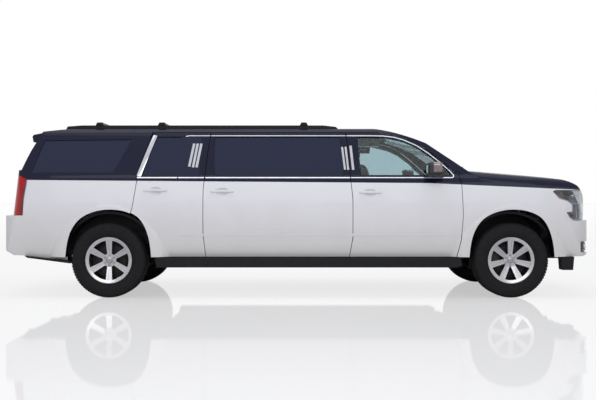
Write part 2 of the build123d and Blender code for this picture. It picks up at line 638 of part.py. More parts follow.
def chassis(inner, inner_clear, front_clear, rear_clear):
    """Separate ladder frame, floor and what hangs under it."""
    parts = {}
    low, deep = rail_z, rail_height
    rail_side = outline([
        (-3060, low + 90), (-2560, low + 90), (-2420, low + 200), (-1700, low + 200), (-1460, low),
        (1740, low), (1900, low + 60), (3080, low + 60), (3080, low + 60 + deep),
        (1880, low + 60 + deep), (1720, low + deep), (-1440, low + deep), (-1680, low + 200 + deep),
        (-2440, low + 200 + deep), (-2580, low + 90 + deep), (-3060, low + 90 + deep)])
    rail = slab(rail_side, -rail_y + rail_width / 2, -rail_y - rail_width / 2)
    frame = rail + mirror(rail, about=Plane.XZ)
    between = rail_y - rail_width / 2
    for x, z in cross_members:
        frame = frame + block((x - 45, x + 45), (-between, between), (z, z + 60))
    for x in body_mount_x:
        z = low + deep
        pad = Pos(x, -rail_y, 0) * extrude(Plane.XY.offset(z) * Circle(34), amount=floor_z - z)
        frame = frame + pad + mirror(pad, about=Plane.XZ)
    tower = block((front_axle_x - 160, front_axle_x + 160), (-rail_y - rail_width / 2, -between),
                  (200, 620))
    frame = frame + tower + mirror(tower, about=Plane.XZ)
    rail_y_range = (-rail_y - rail_width / 2, -between)
    ends = block((3070, 3400), rail_y_range, (low + 110, low + 60 + deep)) & front_clear
    ends = ends + (block((-3400, -3050), rail_y_range, (low + 130, low + 90 + deep)) & rear_clear)
    for x in rear_mount_x:
        z = low + 200 + deep
        ends = ends + Pos(x, -rail_y, 0) * extrude(Plane.XY.offset(z) * Circle(34),
                                                   amount=rear_floor_z - z)
    parts["ladder_frame"] = frame + ends + mirror(ends, about=Plane.XZ)

    step_x = rear_floor_x
    floor = block((step_x, 1700), (-765, 765), (floor_z, floor_z + floor_thickness))
    floor = floor + block((step_x - 40, step_x), (-765, 765), (floor_z, rear_floor_z + 40))
    floor = floor + block((-2960, step_x), (-800, 800), (rear_floor_z, rear_floor_z + 40))
    floor = floor + block((1660, 1700), (-765, 765), (floor_z, 1195))
    floor = floor - block((tunnel_x, 1800), (-170, 170), (floor_z - 1, 640))
    tunnel = block((tunnel_x, 1700), (-200, 200), (floor_z, 670))
    tunnel = tunnel - block((tunnel_x + 30, 1800), (-170, 170), (floor_z - 1, 640))
    floor = floor + tunnel
    round_cut = Pos(rear_axle_x, 0, wheel_z) * extrude(
        Plane.XZ.offset(rear_liner_inner_y) * Circle(arch_radius + liner_thickness), amount=500)
    floor = floor - round_cut - mirror(round_cut, about=Plane.XZ)
    parts["floor_pan"] = floor
    front_house = wheelhouse(front_axle_x, liner_inner_y) & inner
    wall = Circle(arch_radius + liner_thickness)
    wall = extrude(Plane.XZ.offset(liner_inner_y - liner_thickness) * wall, amount=liner_thickness)
    wall = Pos(front_axle_x, 0, wheel_z) * wall
    foot_z = 620 + fixed_fit
    rear_floor_top_z = rear_floor_z + floor_thickness + fixed_fit
    front_house = front_house + (wall & block((-far, far), (-far, far), (foot_z, far)))
    front_house = front_house + block((front_axle_x - 160, front_axle_x + 160),
                                      (-liner_inner_y, -between), (foot_z, foot_z + 20))
    rear_house = wheelhouse(rear_axle_x, rear_liner_inner_y)
    wall = Pos(rear_axle_x - front_axle_x, liner_inner_y - rear_liner_inner_y, 0) * wall
    rear_house = rear_house + (wall & block((-far, far), (-far, far), (rear_floor_top_z, far)))
    rear_house = rear_house + (wall & block((-far, far), (-far, far),
                                            (floor_z + 60, rear_floor_z - fixed_fit)))
    rear_half = block((-far, -1800), (-far, far), (0, far))
    rear_house = (rear_house & inner_clear) + (rear_house & inner & rear_half)
    houses = [front_house, rear_house]
    parts["wheelhouses"] = solids_of(*houses, *[mirror(h, about=Plane.XZ) for h in houses])

    engine = block((1960, 2540), (-300, 300), (560, 1080))
    engine = engine + block((tunnel_x + 60, 1960), (-130, 130), (440, 625))
    engine = engine + block((2180, 2320), (-between, between), (450, 600))
    parts["engine_block"] = engine
    radiator = block((2960, 3030), (-360, 360), (540, 1080))
    for y in (-300, 300):
        radiator = radiator + block((2975, 3015), (y - 20, y + 20), (460 + fixed_fit, 540))
    parts["radiator"] = radiator
    tank = fillet(block((-1310, -640), (60, between), (325, 480)).edges().filter_by(Axis.X), 30)
    for x in (-1200, -750):
        tank = tank + block((x - 20, x + 20), (200, 240), (470, floor_z - fixed_fit))
    parts["fuel_tank"] = tank
    pipe = rod((1900, -250, 446), (-1500, -250, 446), 28)
    muffler = Plane(origin=(-1200, -250, 446), z_dir=(1, 0, 0), x_dir=(0, 1, 0)) * Ellipse(110, 46)
    pipe = pipe + extrude(muffler, amount=520)
    for x in (-940, 0, 1150):
        pipe = pipe + block((x - 8, x + 8), (-262, -238), (465, floor_z - fixed_fit))
    parts["exhaust"] = pipe
    shaft_end = rear_axle_x + 150 + fixed_fit
    parts["propshaft"] = rod((tunnel_x + 60 - fixed_fit, 0, 456), (shaft_end + 2, 0, 432), 34)
    return parts


cross_members = [(-2990, 430), (-2480, 510), (-1390, 335), (-560, 335), (500, 335), (1500, 335),
                 (2995, 400)]
sill_outer_y = 812
body_mount_x = [-1250, -100, 1050]
rear_mount_x = [-2330, -1850]
rear_floor_x = -1400
rear_floor_z = 690
tunnel_x = 900


def cabin_fittings():
    parts = {}
    floor_top = floor_z + floor_thickness
    dash = outline([(1400, 900), (1430, 1110), (1520, 1185), (1659.7, 1190), (1659.7, 800), (1500, 800)])
    parts["dashboard"] = slab(dash, 760, -760)
    wheel_plane = Plane((1325, 380, 1080), z_dir=(-1, 0, 0.45))
    rim = wheel_plane * Torus(185, 16)
    hub = wheel_plane * Cylinder(55, 40)
    steering = rim + hub
    for angle in (0, 180, 270):
        steering = steering + wheel_plane * Rot(0, 0, angle) * (Pos(115, 0, 0) * Box(145, 30, 16))
    steering = steering + rod((1325, 380, 1080), (1440, 380, 1028), 28)
    parts["steering_wheel"] = steering - parts["dashboard"]
    seats = []
    for y in (-430, 430):
        cushion = block((850, 1330), (y - 225, y + 225), (floor_top, 860))
        back = slab(outline([(850, 860), (740, 1480), (600, 1480), (700, 600), (850, 600)]),
                    y + 225, y - 225)
        head = block((610, 700), (y - 130, y + 130), (1480, 1640))
        seats.append(cushion + back + head)
    parts["front_seats"] = solids_of(*seats)
    bench = block((-2000, -1500), (-470, 470), (rear_floor_z + 40, 1010))
    bench = bench + slab(outline([(-2000, 730), (-2080, 1560), (-2200, 1560), (-2150, 730)]), 470, -470)
    side = block((-1350, 250), (330, 740), (floor_top, 920)) + block((-1350, 250), (590, 740), (900, 1300))
    parts["lounge_seats"] = solids_of(bench, side)
    return parts


def outside_fittings(outer):
    parts = {}
    board = slab(outline([(-1515, 326), (1700, 326), (1760, 345), (1740, 430), (-1535, 430)]), -sill_outer_y, -1000)
    parts["running_boards"] = both_sides(board)
    front_guard = slab(outline([(2826, 442 - fixed_fit), (2962, 442 - fixed_fit), (2950, 298), (2838, 298)]),
                       -850, -985)
    rear_guard = slab(outline([(-2445, 395 - fixed_fit), (-2938, 449.4), (-2905, 428), (-2445, 368)]),
                      -860, -975)
    parts["splash_guards"] = solids_of(both_sides(front_guard), both_sides(rear_guard))
    rail = slab(outline([(-2640, 1700), (-2560, 1866), (-2400, rail_top_z), (280, rail_top_z), (420, 1862),
                         (600, 1700)]), -600, -655)
    rail = rail - outer
    rack = rail + mirror(rail, about=Plane.XZ)
    for x in crossbar_x:
        bar = slab(outline([(x - 45, rail_top_z + fixed_fit), (x + 45, rail_top_z + fixed_fit), (x + 28, 1910),
                            (x - 28, 1910)]), 670, -670)
        rack = rack + bar
    parts["roof_rack"] = rack
    arm = block((1440, 1560), (-1035, -900), (1290, 1345))
    shell = block((1370, 1520), (-1190, -1010), (1300, 1450))
    mirror_right = fillet(shell.edges(), 35) + arm
    mirror_right = mirror_right - outer
    parts["mirror_right"] = mirror_right
    parts["mirror_left"] = mirror(mirror_right, about=Plane.XZ)
    return parts


crossbar_x = [-2200, -1510, 65]
rail_top_z = 1878


def running_gear():
    """Wheels, knuckles, arms and the rear axle."""
    parts = {}
    ends = {"front": (front_axle_x, front_spokes), "rear": (rear_axle_x, rear_spokes)}
    for end, (x, spokes) in ends.items():
        tyre, rim = wheel_parts(spokes)
        at = Pos(x, -wheel_y, wheel_z)
        parts[f"tyre_{end}_right"] = at * tyre
        parts[f"rim_{end}_right"] = at * rim
        parts[f"tyre_{end}_left"] = mirror(at * tyre, about=Plane.XZ)
        parts[f"rim_{end}_left"] = mirror(at * rim, about=Plane.XZ)
    x = front_axle_x
    joint_high, joint_low = wheel_z + 160, wheel_z - 160
    arm_high, arm_low = joint_high + 20, joint_low - 20
    knuckle = rod((x, -kingpin_y, arm_low + 0.3), (x, -kingpin_y, arm_high - 0.3), 24)
    knuckle = knuckle + rod((x, -kingpin_y + 20, wheel_z), (x, -kingpin_y - 40, wheel_z), 60)
    knuckle = knuckle + rod((x, -kingpin_y, wheel_z), (x, -wheel_y + 30, wheel_z), 30)
    caliper = block((x - 195, x - 110), (-wheel_y - 8, -kingpin_y), (wheel_z - 70, wheel_z + 70))
    slot = block((x - 172, x), (-wheel_y + 14, -wheel_y + 54), (wheel_z - 90, wheel_z + 90))
    bracket = block((x - 150, x), (-kingpin_y - 30, -kingpin_y + 10), (wheel_z - 30, wheel_z + 30))
    knuckle = knuckle + bracket + (caliper - slot)
    parts["knuckle_right"] = knuckle
    parts["knuckle_left"] = mirror(knuckle, about=Plane.XZ)
    arms = []
    for low in (arm_low - 16, arm_high):
        arm = make_face(Polyline((x - 150, -rail_y - 38), (x + 150, -rail_y - 38), (x + 35, -kingpin_y - 24),
                                 (x - 35, -kingpin_y - 24), close=True))
        arms.append(extrude(Plane.XY.offset(low) * arm, amount=16))
    parts["front_suspension"] = solids_of(*[both_sides(a) for a in arms])
    axle = rod((rear_axle_x, -wheel_y + 30, wheel_z), (rear_axle_x, wheel_y - 30, wheel_z), 30)
    axle = axle + rod((rear_axle_x, -740, wheel_z), (rear_axle_x, 740, wheel_z), 44)
    axle = axle + Pos(rear_axle_x, 0, wheel_z) * Sphere(150)
    spring_top = rail_z + 200 - fixed_fit
    for y in (-rail_y, rail_y):
        axle = axle + rod((rear_axle_x, y, wheel_z), (rear_axle_x, y, spring_top), 52)
    parts["rear_axle"] = axle
    return parts


if __name__ == "__main__":
    os.makedirs("parts", exist_ok=True)
    for name, shape in build().items():
        print(name, shape.is_valid, len(shape.solids()), round(shape.volume / 1e6, 1))
        export_step(shape, f"parts/{name}.step")
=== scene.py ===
import json
import math

import bmesh
import bpy
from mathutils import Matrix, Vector
from mathutils.bvhtree import BVHTree

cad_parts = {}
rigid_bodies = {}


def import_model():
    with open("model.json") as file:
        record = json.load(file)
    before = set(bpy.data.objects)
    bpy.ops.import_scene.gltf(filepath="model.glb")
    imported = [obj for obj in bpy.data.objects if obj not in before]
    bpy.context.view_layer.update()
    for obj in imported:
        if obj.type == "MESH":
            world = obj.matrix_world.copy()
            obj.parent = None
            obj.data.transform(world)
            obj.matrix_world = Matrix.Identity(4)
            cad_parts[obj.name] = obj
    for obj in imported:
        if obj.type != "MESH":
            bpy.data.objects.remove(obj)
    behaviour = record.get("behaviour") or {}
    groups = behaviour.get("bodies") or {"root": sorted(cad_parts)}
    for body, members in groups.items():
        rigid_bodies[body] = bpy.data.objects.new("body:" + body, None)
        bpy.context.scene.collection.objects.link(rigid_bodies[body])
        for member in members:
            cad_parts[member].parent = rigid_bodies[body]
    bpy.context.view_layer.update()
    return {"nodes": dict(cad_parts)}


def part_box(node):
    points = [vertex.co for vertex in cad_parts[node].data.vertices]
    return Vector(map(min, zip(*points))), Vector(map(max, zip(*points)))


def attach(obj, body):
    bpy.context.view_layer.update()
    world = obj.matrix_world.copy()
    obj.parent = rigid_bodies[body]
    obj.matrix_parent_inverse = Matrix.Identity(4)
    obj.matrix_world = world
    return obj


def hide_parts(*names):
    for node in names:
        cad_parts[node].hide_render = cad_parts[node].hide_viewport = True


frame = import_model()
nodes = frame["nodes"]
print("frame loaded with", len(nodes), "nodes")

sides = ((-1, "right"), (1, "left"))     # the sign of y, and the word in a piece's name
weldGap = 0.00002                         # corners closer than this are one corner
outsideReach = 1.6                        # a line from here meets the side from outside
endReach = 4.0                            # and from here an end or the top
nodePrefixes = ("ShaderNode", "GeometryNode", "Node")


def toLinear(hexColour):
    channels = []
    for i in (0, 2, 4):
        c = int(hexColour[i:i + 2], 16) / 255
        channels.append(c / 12.92 if c <= 0.04045 else ((c + 0.055) / 1.055) ** 2.4)
    return (*channels, 1.0)


def addNode(tree, kind, inputs={}, **options):
    # kind leaves out the type's prefix; an input given as a node or a socket is linked, a node
    # by its first output, and anything else is set as its value
    whole = [start + kind for start in nodePrefixes if hasattr(bpy.types, start + kind)][0]
    node = tree.nodes.new(whole)
    for name, value in options.items():
        setattr(node, name, value)
    for name, value in inputs.items():
        if isinstance(value, bpy.types.Node):
            value = value.outputs[0]
        if isinstance(value, bpy.types.NodeSocket):
            tree.links.new(value, node.inputs[name])
        else:
            node.inputs[name].default_value = value
    return node


def calc(tree, operation, *terms):
    return addNode(tree, "Math", dict(enumerate(terms)), operation=operation)


def remap(tree, value, ends, fromEnds=(0.0, 1.0)):
    return addNode(tree, "MapRange", {
        "Value": value, "From Min": fromEnds[0], "From Max": fromEnds[1], "To Min": ends[0],
        "To Max": ends[1]}).outputs["Result"]


def noiseAt(tree, place, scale, detail):
    return addNode(tree, "TexNoise", {"Vector": place, "Scale": scale, "Detail": detail})


def mixColour(tree, share, low, high):
    # each colour is a hex text or a socket
    ends = [toLinear(end) if isinstance(end, str) else end for end in (low, high)]
    return addNode(tree, "Mix", {0: share, 6: ends[0], 7: ends[1]}, data_type="RGBA").outputs[2]


def startMaterial(name, shaderValues):
    material = bpy.data.materials.new(name)
    material.use_nodes = True
    tree = material.node_tree
    tree.nodes.clear()
    shader = addNode(tree, "BsdfPrincipled", shaderValues)
    addNode(tree, "OutputMaterial", {"Surface": shader})
    place = addNode(tree, "TexCoord").outputs["Object"]
    return material, tree, shader, place


def grainBump(tree, shader, place, grainMm, depthMm, detail=2.0):
    grain = noiseAt(tree, place, 1000 / grainMm, detail)
    bump = addNode(tree, "Bump", {"Strength": 1.0, "Distance": depthMm / 1000, "Height": grain})
    tree.links.new(bump.outputs["Normal"], shader.inputs["Normal"])


# paint: white mica basecoat below, navy basecoat above, one clearcoat over both
paintJob = {
    "white": "E9E9EE",
    # the warm grey is painted shade and painted floor reflection on the lower side
    "whiteLowShade": "DEDCDB",
    "navy": "050B2A",
    "archLinerAndShade": "0B0B0D",              # inside of the wheel openings: the liner's black, and painted shade
    "axles": [(2.2865, 0.401), (-2.0315, 0.401)],
    "lipRadius": 0.6,
    "lipFacing": 0.6,                 # faces turned less than this to the side
    "rearLine": (1.2413, -0.00778),   # height at x = 0 and its fall for each metre forward
    "frontLine": (1.2929, -0.0444),   # the line drops faster along the front fender
    "lowShadeHeights": (1.35, 0.75),      # painted shade of the lower side starts at the first and is full at the second
    "lowShadePatch": (3.0, 0.5),          # noise scale, and how far it moves the painted shade up and down
    "flakeScale": 400.0,              # real mica flakes are 0.05 mm, too small to show
    "flakeRoughness": (0.36, 0.5),
}


def makeBodyPaint():
    # clearcoat over mica: a soft base lobe with a hard, sharp reflection on top
    p = paintJob
    material, tree, shader, place = startMaterial("clearcoatedMicaPaint", {
        "Metallic": 0.0, "Specular IOR Level": 0.1, "Coat Weight": 0.28, "Coat Roughness": 0.03})
    xyz = addNode(tree, "SeparateXYZ", {"Vector": place}).outputs
    heights = [calc(tree, "MULTIPLY_ADD", xyz["X"], fall, start)
               for start, fall in (p["rearLine"], p["frontLine"])]
    above = calc(tree, "GREATER_THAN", xyz["Z"], calc(tree, "MINIMUM", *heights))
    # painted shade and painted floor reflection: the white turns a little warmer and greyer towards
    # the sills
    patchScale, drift = p["lowShadePatch"]
    lowShade = calc(tree, "MULTIPLY_ADD", noiseAt(tree, place, patchScale, 3.0), drift, xyz["Z"])
    white = mixColour(tree, remap(tree, lowShade, (0, 1), p["lowShadeHeights"]), p["white"], p["whiteLowShade"])
    both = mixColour(tree, above, white, p["navy"])
    # returned edges of the wheel openings, near an axle and not facing sideways: liner black,
    # painted shade
    normal = addNode(tree, "TexCoord").outputs["Normal"]
    facing = addNode(tree, "SeparateXYZ", {"Vector": normal}).outputs["Y"]
    returned = calc(tree, "LESS_THAN", calc(tree, "ABSOLUTE", facing), p["lipFacing"])
    level = addNode(tree, "CombineXYZ", {"X": xyz["X"], "Z": xyz["Z"]})
    away = [addNode(tree, "VectorMath", {0: level, 1: (x, 0, z)},
                    operation="DISTANCE").outputs["Value"] for x, z in p["axles"]]
    near = calc(tree, "LESS_THAN", calc(tree, "MINIMUM", *away), p["lipRadius"])
    whole = mixColour(tree, calc(tree, "MULTIPLY", returned, near), both, p["archLinerAndShade"])
    tree.links.new(whole, shader.inputs["Base Color"])
    flake = addNode(tree, "TexVoronoi", {"Vector": place, "Scale": p["flakeScale"]})
    tree.links.new(remap(tree, flake.outputs["Distance"], p["flakeRoughness"]),
                   shader.inputs["Roughness"])
    return material


def makeFlat(name, colours, patchMm, roughness, metal=0.0, coat=0.0, specular=0.5, grain=None,
             more={}):
    # one finish, its colour drifting between two near shades; grain: size and depth in mm
    material, tree, shader, place = startMaterial(name, {
        "Roughness": roughness, "Metallic": metal, "Coat Weight": coat,
        "Specular IOR Level": specular, **more})
    ramp = addNode(tree, "ValToRGB", {"Fac": noiseAt(tree, place, 1000 / patchMm, 4.0)})
    for element, position, colour in zip(ramp.color_ramp.elements, (0.35, 0.65), colours):
        element.position = position
        element.color = toLinear(colour)
    tree.links.new(ramp.outputs["Color"], shader.inputs["Base Color"])
    if grain:
        grainBump(tree, shader, place, *grain)
    return material


def makeGlass(name, tint, shaderValues={}):
    # float glass: polished, so the reflection is sharp, and tinted all through
    material, tree, shader, place = startMaterial(name, {
        "Base Color": toLinear(tint), "Roughness": 0.0, "IOR": 1.5, "Transmission Weight": 1.0,
        **shaderValues})
    grainBump(tree, shader, place, 900, 0.06, 0.0)  # the slow wave of tempered glass
    return material


def makeSplit(name, axis, span, colours, metals, roughs, mirrored, floorHeight=None):
    # two finishes on one form, parted along one axis of the car, and at a height if one is given
    material, tree, shader, place = startMaterial(name, {})
    xyz = addNode(tree, "SeparateXYZ", {"Vector": place}).outputs
    along = calc(tree, "ABSOLUTE", xyz[axis]) if mirrored else xyz[axis]
    share = remap(tree, along, (0, 1), span)
    if floorHeight:
        share = calc(tree, "MULTIPLY", share, calc(tree, "GREATER_THAN", xyz["Z"], floorHeight))
    cloud = noiseAt(tree, place, 16.0, 3.0)
    shades = [mixColour(tree, cloud, *pair) for pair in colours]
    tree.links.new(mixColour(tree, share, *shades), shader.inputs["Base Color"])
    for socket, ends in (("Metallic", metals), ("Roughness", roughs)):
        tree.links.new(remap(tree, share, ends), shader.inputs[socket])
    return material


bodyPaint = makeBodyPaint()
privacyGlass = makeGlass("tintedTemperedGlass", "131E40",
                         {"Transmission Weight": 0.14, "Specular IOR Level": 0.3})
clearGlass = makeGlass("greenTintLaminatedGlass", "C3D6DA")
# wheel: machined bright on the outer faces, dark grey paint down between the spokes, and
# painted shade: the same near black on the barrel and brake disc further in
machinedAlloyDepthShade = makeSplit("machinedAluminiumDepthShaded", "Y", (0.893, 0.903),
                          (("101013", "161619"), ("B9B8BC", "A5A4A9")), (0.3, 0.95), (0.5, 0.24),
                          True)
# mirror: chromed cap in front of a grained black shell
mirrorShell = makeSplit("chromeCappedPlastic", "X", (1.4235, 1.4245),
                        (("0A0B0F", "0F1014"), ("8A8183", "716A6E")), (0.0, 1.0), (0.4, 0.08),
                        False, 1.3455)
chrome = makeFlat("chromePlate", ("C9CAD2", "BABCC6"), 120, 0.09, 1.0)
lampHousing = makeFlat("satinSilverHousing", ("77777C", "626268"), 40, 0.3, 0.85)
hubSteel = makeFlat("brightTurnedAluminium", ("A9A9AD", "8E8E93"), 30, 0.25, 1.0)
silvered = makeFlat("silveredGlass", ("E6EAEC", "DDE2E6"), 200, 0.02, 1.0)
stainless = makeFlat("stainlessTube", ("8D8880", "77706A"), 70, 0.4, 1.0)
castIron = makeFlat("castIron", ("3A3835", "4A443D"), 25, 0.6, 0.8, grain=(3, 0.3))
frameEnamel = makeFlat("satinBlackFrameEnamel", ("08080A", "100F0F"), 60, 0.6,
                       specular=0.2, grain=(6, 0.2))
tyreRubber = makeFlat("vulcanisedRubber", ("131316", "1A1A1D"), 40, 0.8, specular=0.25,
                      grain=(1.5, 0.12))
mouldedBlack = makeFlat("grainedBlackPolypropylene", ("0A0B0E", "0F1013"), 80,
                        0.55, specular=0.25, grain=(1.2, 0.1))
glossBlack = makeFlat("glossBlackAcrylic", ("0D0F16", "11131B"), 200, 0.08, coat=0.5)
leather = makeFlat("grainedLeather", ("2B2A2D", "343236"), 60, 0.5, grain=(3, 0.25))
seatLeather = makeFlat("stitchedBlackLeather", ("1F1E21", "29282C"), 60, 0.5,
                       grain=(3, 0.25))
carpet = makeFlat("cutPileCarpet", ("1A1A1C", "26262A"), 8, 0.95, grain=(2.5, 0.8))
softTrim = makeFlat("softTouchTrim", ("2E2F33", "38393D"), 50, 0.65, grain=(1.5, 0.12))
redLens = makeFlat("redAcrylicLens", ("C80614", "A8040E"), 30, 0.12, coat=0.15,
                   specular=0.2, more={"Transmission Weight": 0.1, "IOR": 1.49})
clearLens = makeFlat("clearPolycarbonateLens", ("DADFE3", "D0D5DA"), 60, 0.0,
                     more={"Transmission Weight": 1.0, "IOR": 1.45})
amberLens = makeFlat("amberAcrylicLens", ("6E2A22", "5A1E1A"), 20, 0.15, coat=0.6)
deepRedLens = makeFlat("deepRedAcrylic", ("4A0507", "3A0405"), 20, 0.15, coat=0.5)
print("materials ready")


# how the names of the nodes with each finish start; the longest start that fits counts
finishes = {
    bodyPaint: "door_ hood front_fenders quarter_panels tailgate roof bumper_",
    clearGlass: "glass_front windshield",
    privacyGlass: "glass_middle glass_rear quarter_glass tailgate_glass",
    mouldedBlack: "cowl running_boards roof_rack radiator fuel_tank wheelhouses bumper_inserts "
                  "splash_guards",
    glossBlack: "side_frames",
    mirrorShell: "mirror_",
    chrome: "grille",
    frameEnamel: "ladder_frame rear_axle propshaft front_suspension",
    castIron: "engine_block knuckle_",
    stainless: "exhaust",
    carpet: "floor_pan",
    softTrim: "dashboard steering_wheel",
    leather: "front_seats lounge_seats",
    tyreRubber: "tyre_",
    machinedAlloyDepthShade: "rim_",
    clearLens: "headlamps",
    redLens: "tail_lamps",
}

for name, node in nodes.items():
    fits = [(len(start), material) for material, starts in finishes.items()
            for start in starts.split() if name.startswith(start)]
    material = max(fits, key=lambda fit: fit[0])[1]
    for slot in node.material_slots:
        slot.material = material
    if not node.material_slots:
        node.data.materials.append(material)
print("nodes dressed")


def linked(name, data):
    thing = bpy.data.objects.new(name, data)
    bpy.context.scene.collection.objects.link(thing)
    return thing


def newPiece(name, points, faces, edges=()):
    mesh = bpy.data.meshes.new(name)
    mesh.from_pydata([Vector(p) for p in points], list(edges), faces)
    mesh.update()
    return linked(name, mesh)


def fromForm(name, form):
    mesh = bpy.data.meshes.new(name)
    form.to_mesh(mesh)
    form.free()
    return linked(name, mesh)


def weldedForm(mesh):
    form = bmesh.new()
    form.from_mesh(mesh)
    bmesh.ops.remove_doubles(form, verts=form.verts, dist=weldGap)
    return form


def applyModifiers(piece):
    graph = bpy.context.evaluated_depsgraph_get()
    mesh = bpy.data.meshes.new_from_object(piece.evaluated_get(graph))
    piece.modifiers.clear()
    piece.data = mesh


def finishPiece(piece, material, body="root", sharpDegrees=38):
    mesh = piece.data
    form = weldedForm(mesh)
    bmesh.ops.recalc_face_normals(form, faces=form.faces)
    form.to_mesh(mesh)
    form.free()
    mesh.materials.clear()
    mesh.materials.append(material)
    for polygon in mesh.polygons:
        polygon.material_index = 0
    mesh.shade_smooth()
    mesh.set_sharp_from_angle(angle=math.radians(sharpDegrees))
    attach(piece, body)
    return piece


def thicken(piece, thickness):
    # the wall grows inwards from the face as drawn
    solid = piece.modifiers.new("wall", "SOLIDIFY")
    solid.thickness = thickness
    solid.offset = -1.0
    applyModifiers(piece)


def newTree(name, **inputs):
    # geometry goes in and out, and a material is set at the end
    tree = bpy.data.node_groups.new(name, "GeometryNodeTree")
    for label, kind in {"Geometry": "Geometry", **inputs, "Material": "Material"}.items():
        tree.interface.new_socket(label, in_out="INPUT", socket_type="NodeSocket" + kind)
    tree.interface.new_socket("Geometry", in_out="OUTPUT", socket_type="NodeSocketGeometry")
    return tree, addNode(tree, "GroupInput").outputs


def endTree(tree, given, geometry):
    whole = addNode(tree, "RealizeInstances", {"Geometry": geometry})
    dressed = addNode(tree, "SetMaterial", {"Geometry": whole, "Material": given["Material"]})
    addNode(tree, "GroupOutput", {"Geometry": dressed})


def runTree(piece, tree, settings):
    modifier = piece.modifiers.new("maker", "NODES")
    modifier.node_group = tree
    for socket in tree.interface.items_tree:
        if socket.in_out == "INPUT" and socket.name in settings:
            modifier[socket.identifier] = settings[socket.name]
    applyModifiers(piece)


def makeStripTree():
    # a rounded bar follows each polyline, flat to the surface under it
    tree, given = newTree("stripAlongPath", Width="Float", Height="Float", Edge="Float",
                          Bend="Float")
    path = addNode(tree, "MeshToCurve", {"Mesh": given["Geometry"]})
    bent = addNode(tree, "FilletCurve", {
        "Count": 8, "Limit Radius": True, "Curve": path, "Radius": given["Bend"]},
        mode="POLY")
    up = addNode(tree, "InputNamedAttribute", {"Name": "skinNormal"}, data_type="FLOAT_VECTOR")
    laid = addNode(tree, "SetCurveNormal", {"Curve": bent, "Normal": up}, mode="FREE")
    profile = addNode(tree, "CurvePrimitiveQuadrilateral", {
        "Width": given["Height"], "Height": given["Width"]})
    rounded = addNode(tree, "FilletCurve", {
        "Count": 3, "Limit Radius": True, "Curve": profile, "Radius": given["Edge"]},
        mode="POLY")
    swept = addNode(tree, "CurveToMesh", {
        "Fill Caps": True, "Curve": laid, "Profile Curve": rounded})
    endTree(tree, given, swept)
    return tree


def makeRingTree():
    # copies of one small form, evenly round a wheel's axle
    tree, given = newTree("copiesRoundAxle", Count="Int", Centre="Vector")
    points = addNode(tree, "Points", {"Count": given["Count"]})
    index = addNode(tree, "InputIndex")
    turn = calc(tree, "MULTIPLY", calc(tree, "DIVIDE", index, given["Count"]), 2 * math.pi)
    angles = addNode(tree, "CombineXYZ", {"Y": turn})
    copies = addNode(tree, "InstanceOnPoints", {
        "Points": points, "Instance": given["Geometry"], "Rotation": angles})
    placed = addNode(tree, "Transform", {"Geometry": copies, "Translation": given["Centre"]})
    endTree(tree, given, placed)
    return tree


stripTree = makeStripTree()
ringTree = makeRingTree()


def strip(name, paths, sizes, material, body="root", closed=False):
    # each path is a list of (point, surface normal); sizes: width, height, edge rounding, bend
    points, edges, ups = [], [], []
    for path in paths:
        start, count = len(points), len(path)
        points += [point for point, up in path]
        ups += [up for point, up in path]
        edges += [(start + i, start + i + 1) for i in range(count - 1)]
        if closed:
            edges.append((start + count - 1, start))
    piece = newPiece(name, points, [], edges)
    layer = piece.data.attributes.new("skinNormal", "FLOAT_VECTOR", "POINT")
    for i, up in enumerate(ups):
        layer.data[i].vector = up
    settings = dict(zip(("Width", "Height", "Edge", "Bend"), sizes))
    runTree(piece, stripTree, {**settings, "Material": material})
    return finishPiece(piece, material, body)


# the body side is one arc above the belt and one below it
beltJoin = 1.285
sideArcs = {
    "upper": ((0.955, beltJoin), (0.878, 1.54), (0.772, 1.785)),
    "lower": ((0.93, 0.438), (1.011, 0.83), (0.955, beltJoin)),
}


def circleThrough(*points):
    # the points as complex numbers; turned and scaled so that a is 0 and b is 1, c falls on w
    a, b, c = (complex(*point) for point in points)
    w = (c - a) / (b - a)
    centre = a + (b - a) * (w - abs(w) ** 2) / (w - w.conjugate())
    return centre.real, centre.imag, abs(centre - a)


sideCircles = {name: circleThrough(*points) for name, points in sideArcs.items()}


def hitFrom(tree, origin, direction, lift=0.0):
    # where a line meets a skin: the point, lifted off it, and the normal that faces the line
    hit, normal, _, _ = tree.ray_cast(Vector(origin), Vector(direction))
    if normal.dot(Vector(direction)) > 0:
        normal = -normal
    return hit + normal * lift, normal


def skinTree(*names):
    corners, faces = [], []
    for name in names:
        mesh = nodes[name].data
        start = len(corners)
        corners += [v.co.copy() for v in mesh.vertices]
        faces += [[start + i for i in polygon.vertices] for polygon in mesh.polygons]
    return BVHTree.FromPolygons(corners, faces)


def onSide(skin, x, z, side, lift):
    # on a piece's skin seen from the side, or on the body side's arcs where none is given
    if skin is not None:
        return hitFrom(skin, (x, side * outsideReach, z), (0, -side, 0), lift)
    cy, cz, radius = sideCircles["upper" if z >= beltJoin else "lower"]
    rise = (z - cz) / radius
    normal = Vector((0, side * math.sqrt(1 - rise * rise), rise))
    y = cy + math.sqrt(radius ** 2 - (z - cz) ** 2)
    return Vector((x, side * y, z)) + normal * lift, normal


def sideStrip(name, paths, side, sizes, lift, material, body="root", closed=False, skin=None):
    strip(name, [[onSide(skin, x, z, side, lift) for x, z in path] for path in paths], sizes,
          material, body, closed)


def endStrip(name, tree, paths, look, sizes, lift, material, body="root", closed=False):
    # paths of (y, z) laid on a skin seen along the car; look is -1 from the front, 1 from the rear
    strip(name, [[hitFrom(tree, (-look * endReach, y, z), (look, 0, 0), lift) for y, z in path]
                 for path in paths], sizes, material, body, closed)


def alongLine(line, share):
    lengths = [math.dist(a, b) for a, b in zip(line, line[1:])]
    left = share * sum(lengths)
    for a, b, length in zip(line, line[1:], lengths):
        if left <= length + 1e-9:
            t = left / length
            return a[0] + (b[0] - a[0]) * t, a[1] + (b[1] - a[1]) * t
        left -= length
    return line[-1]


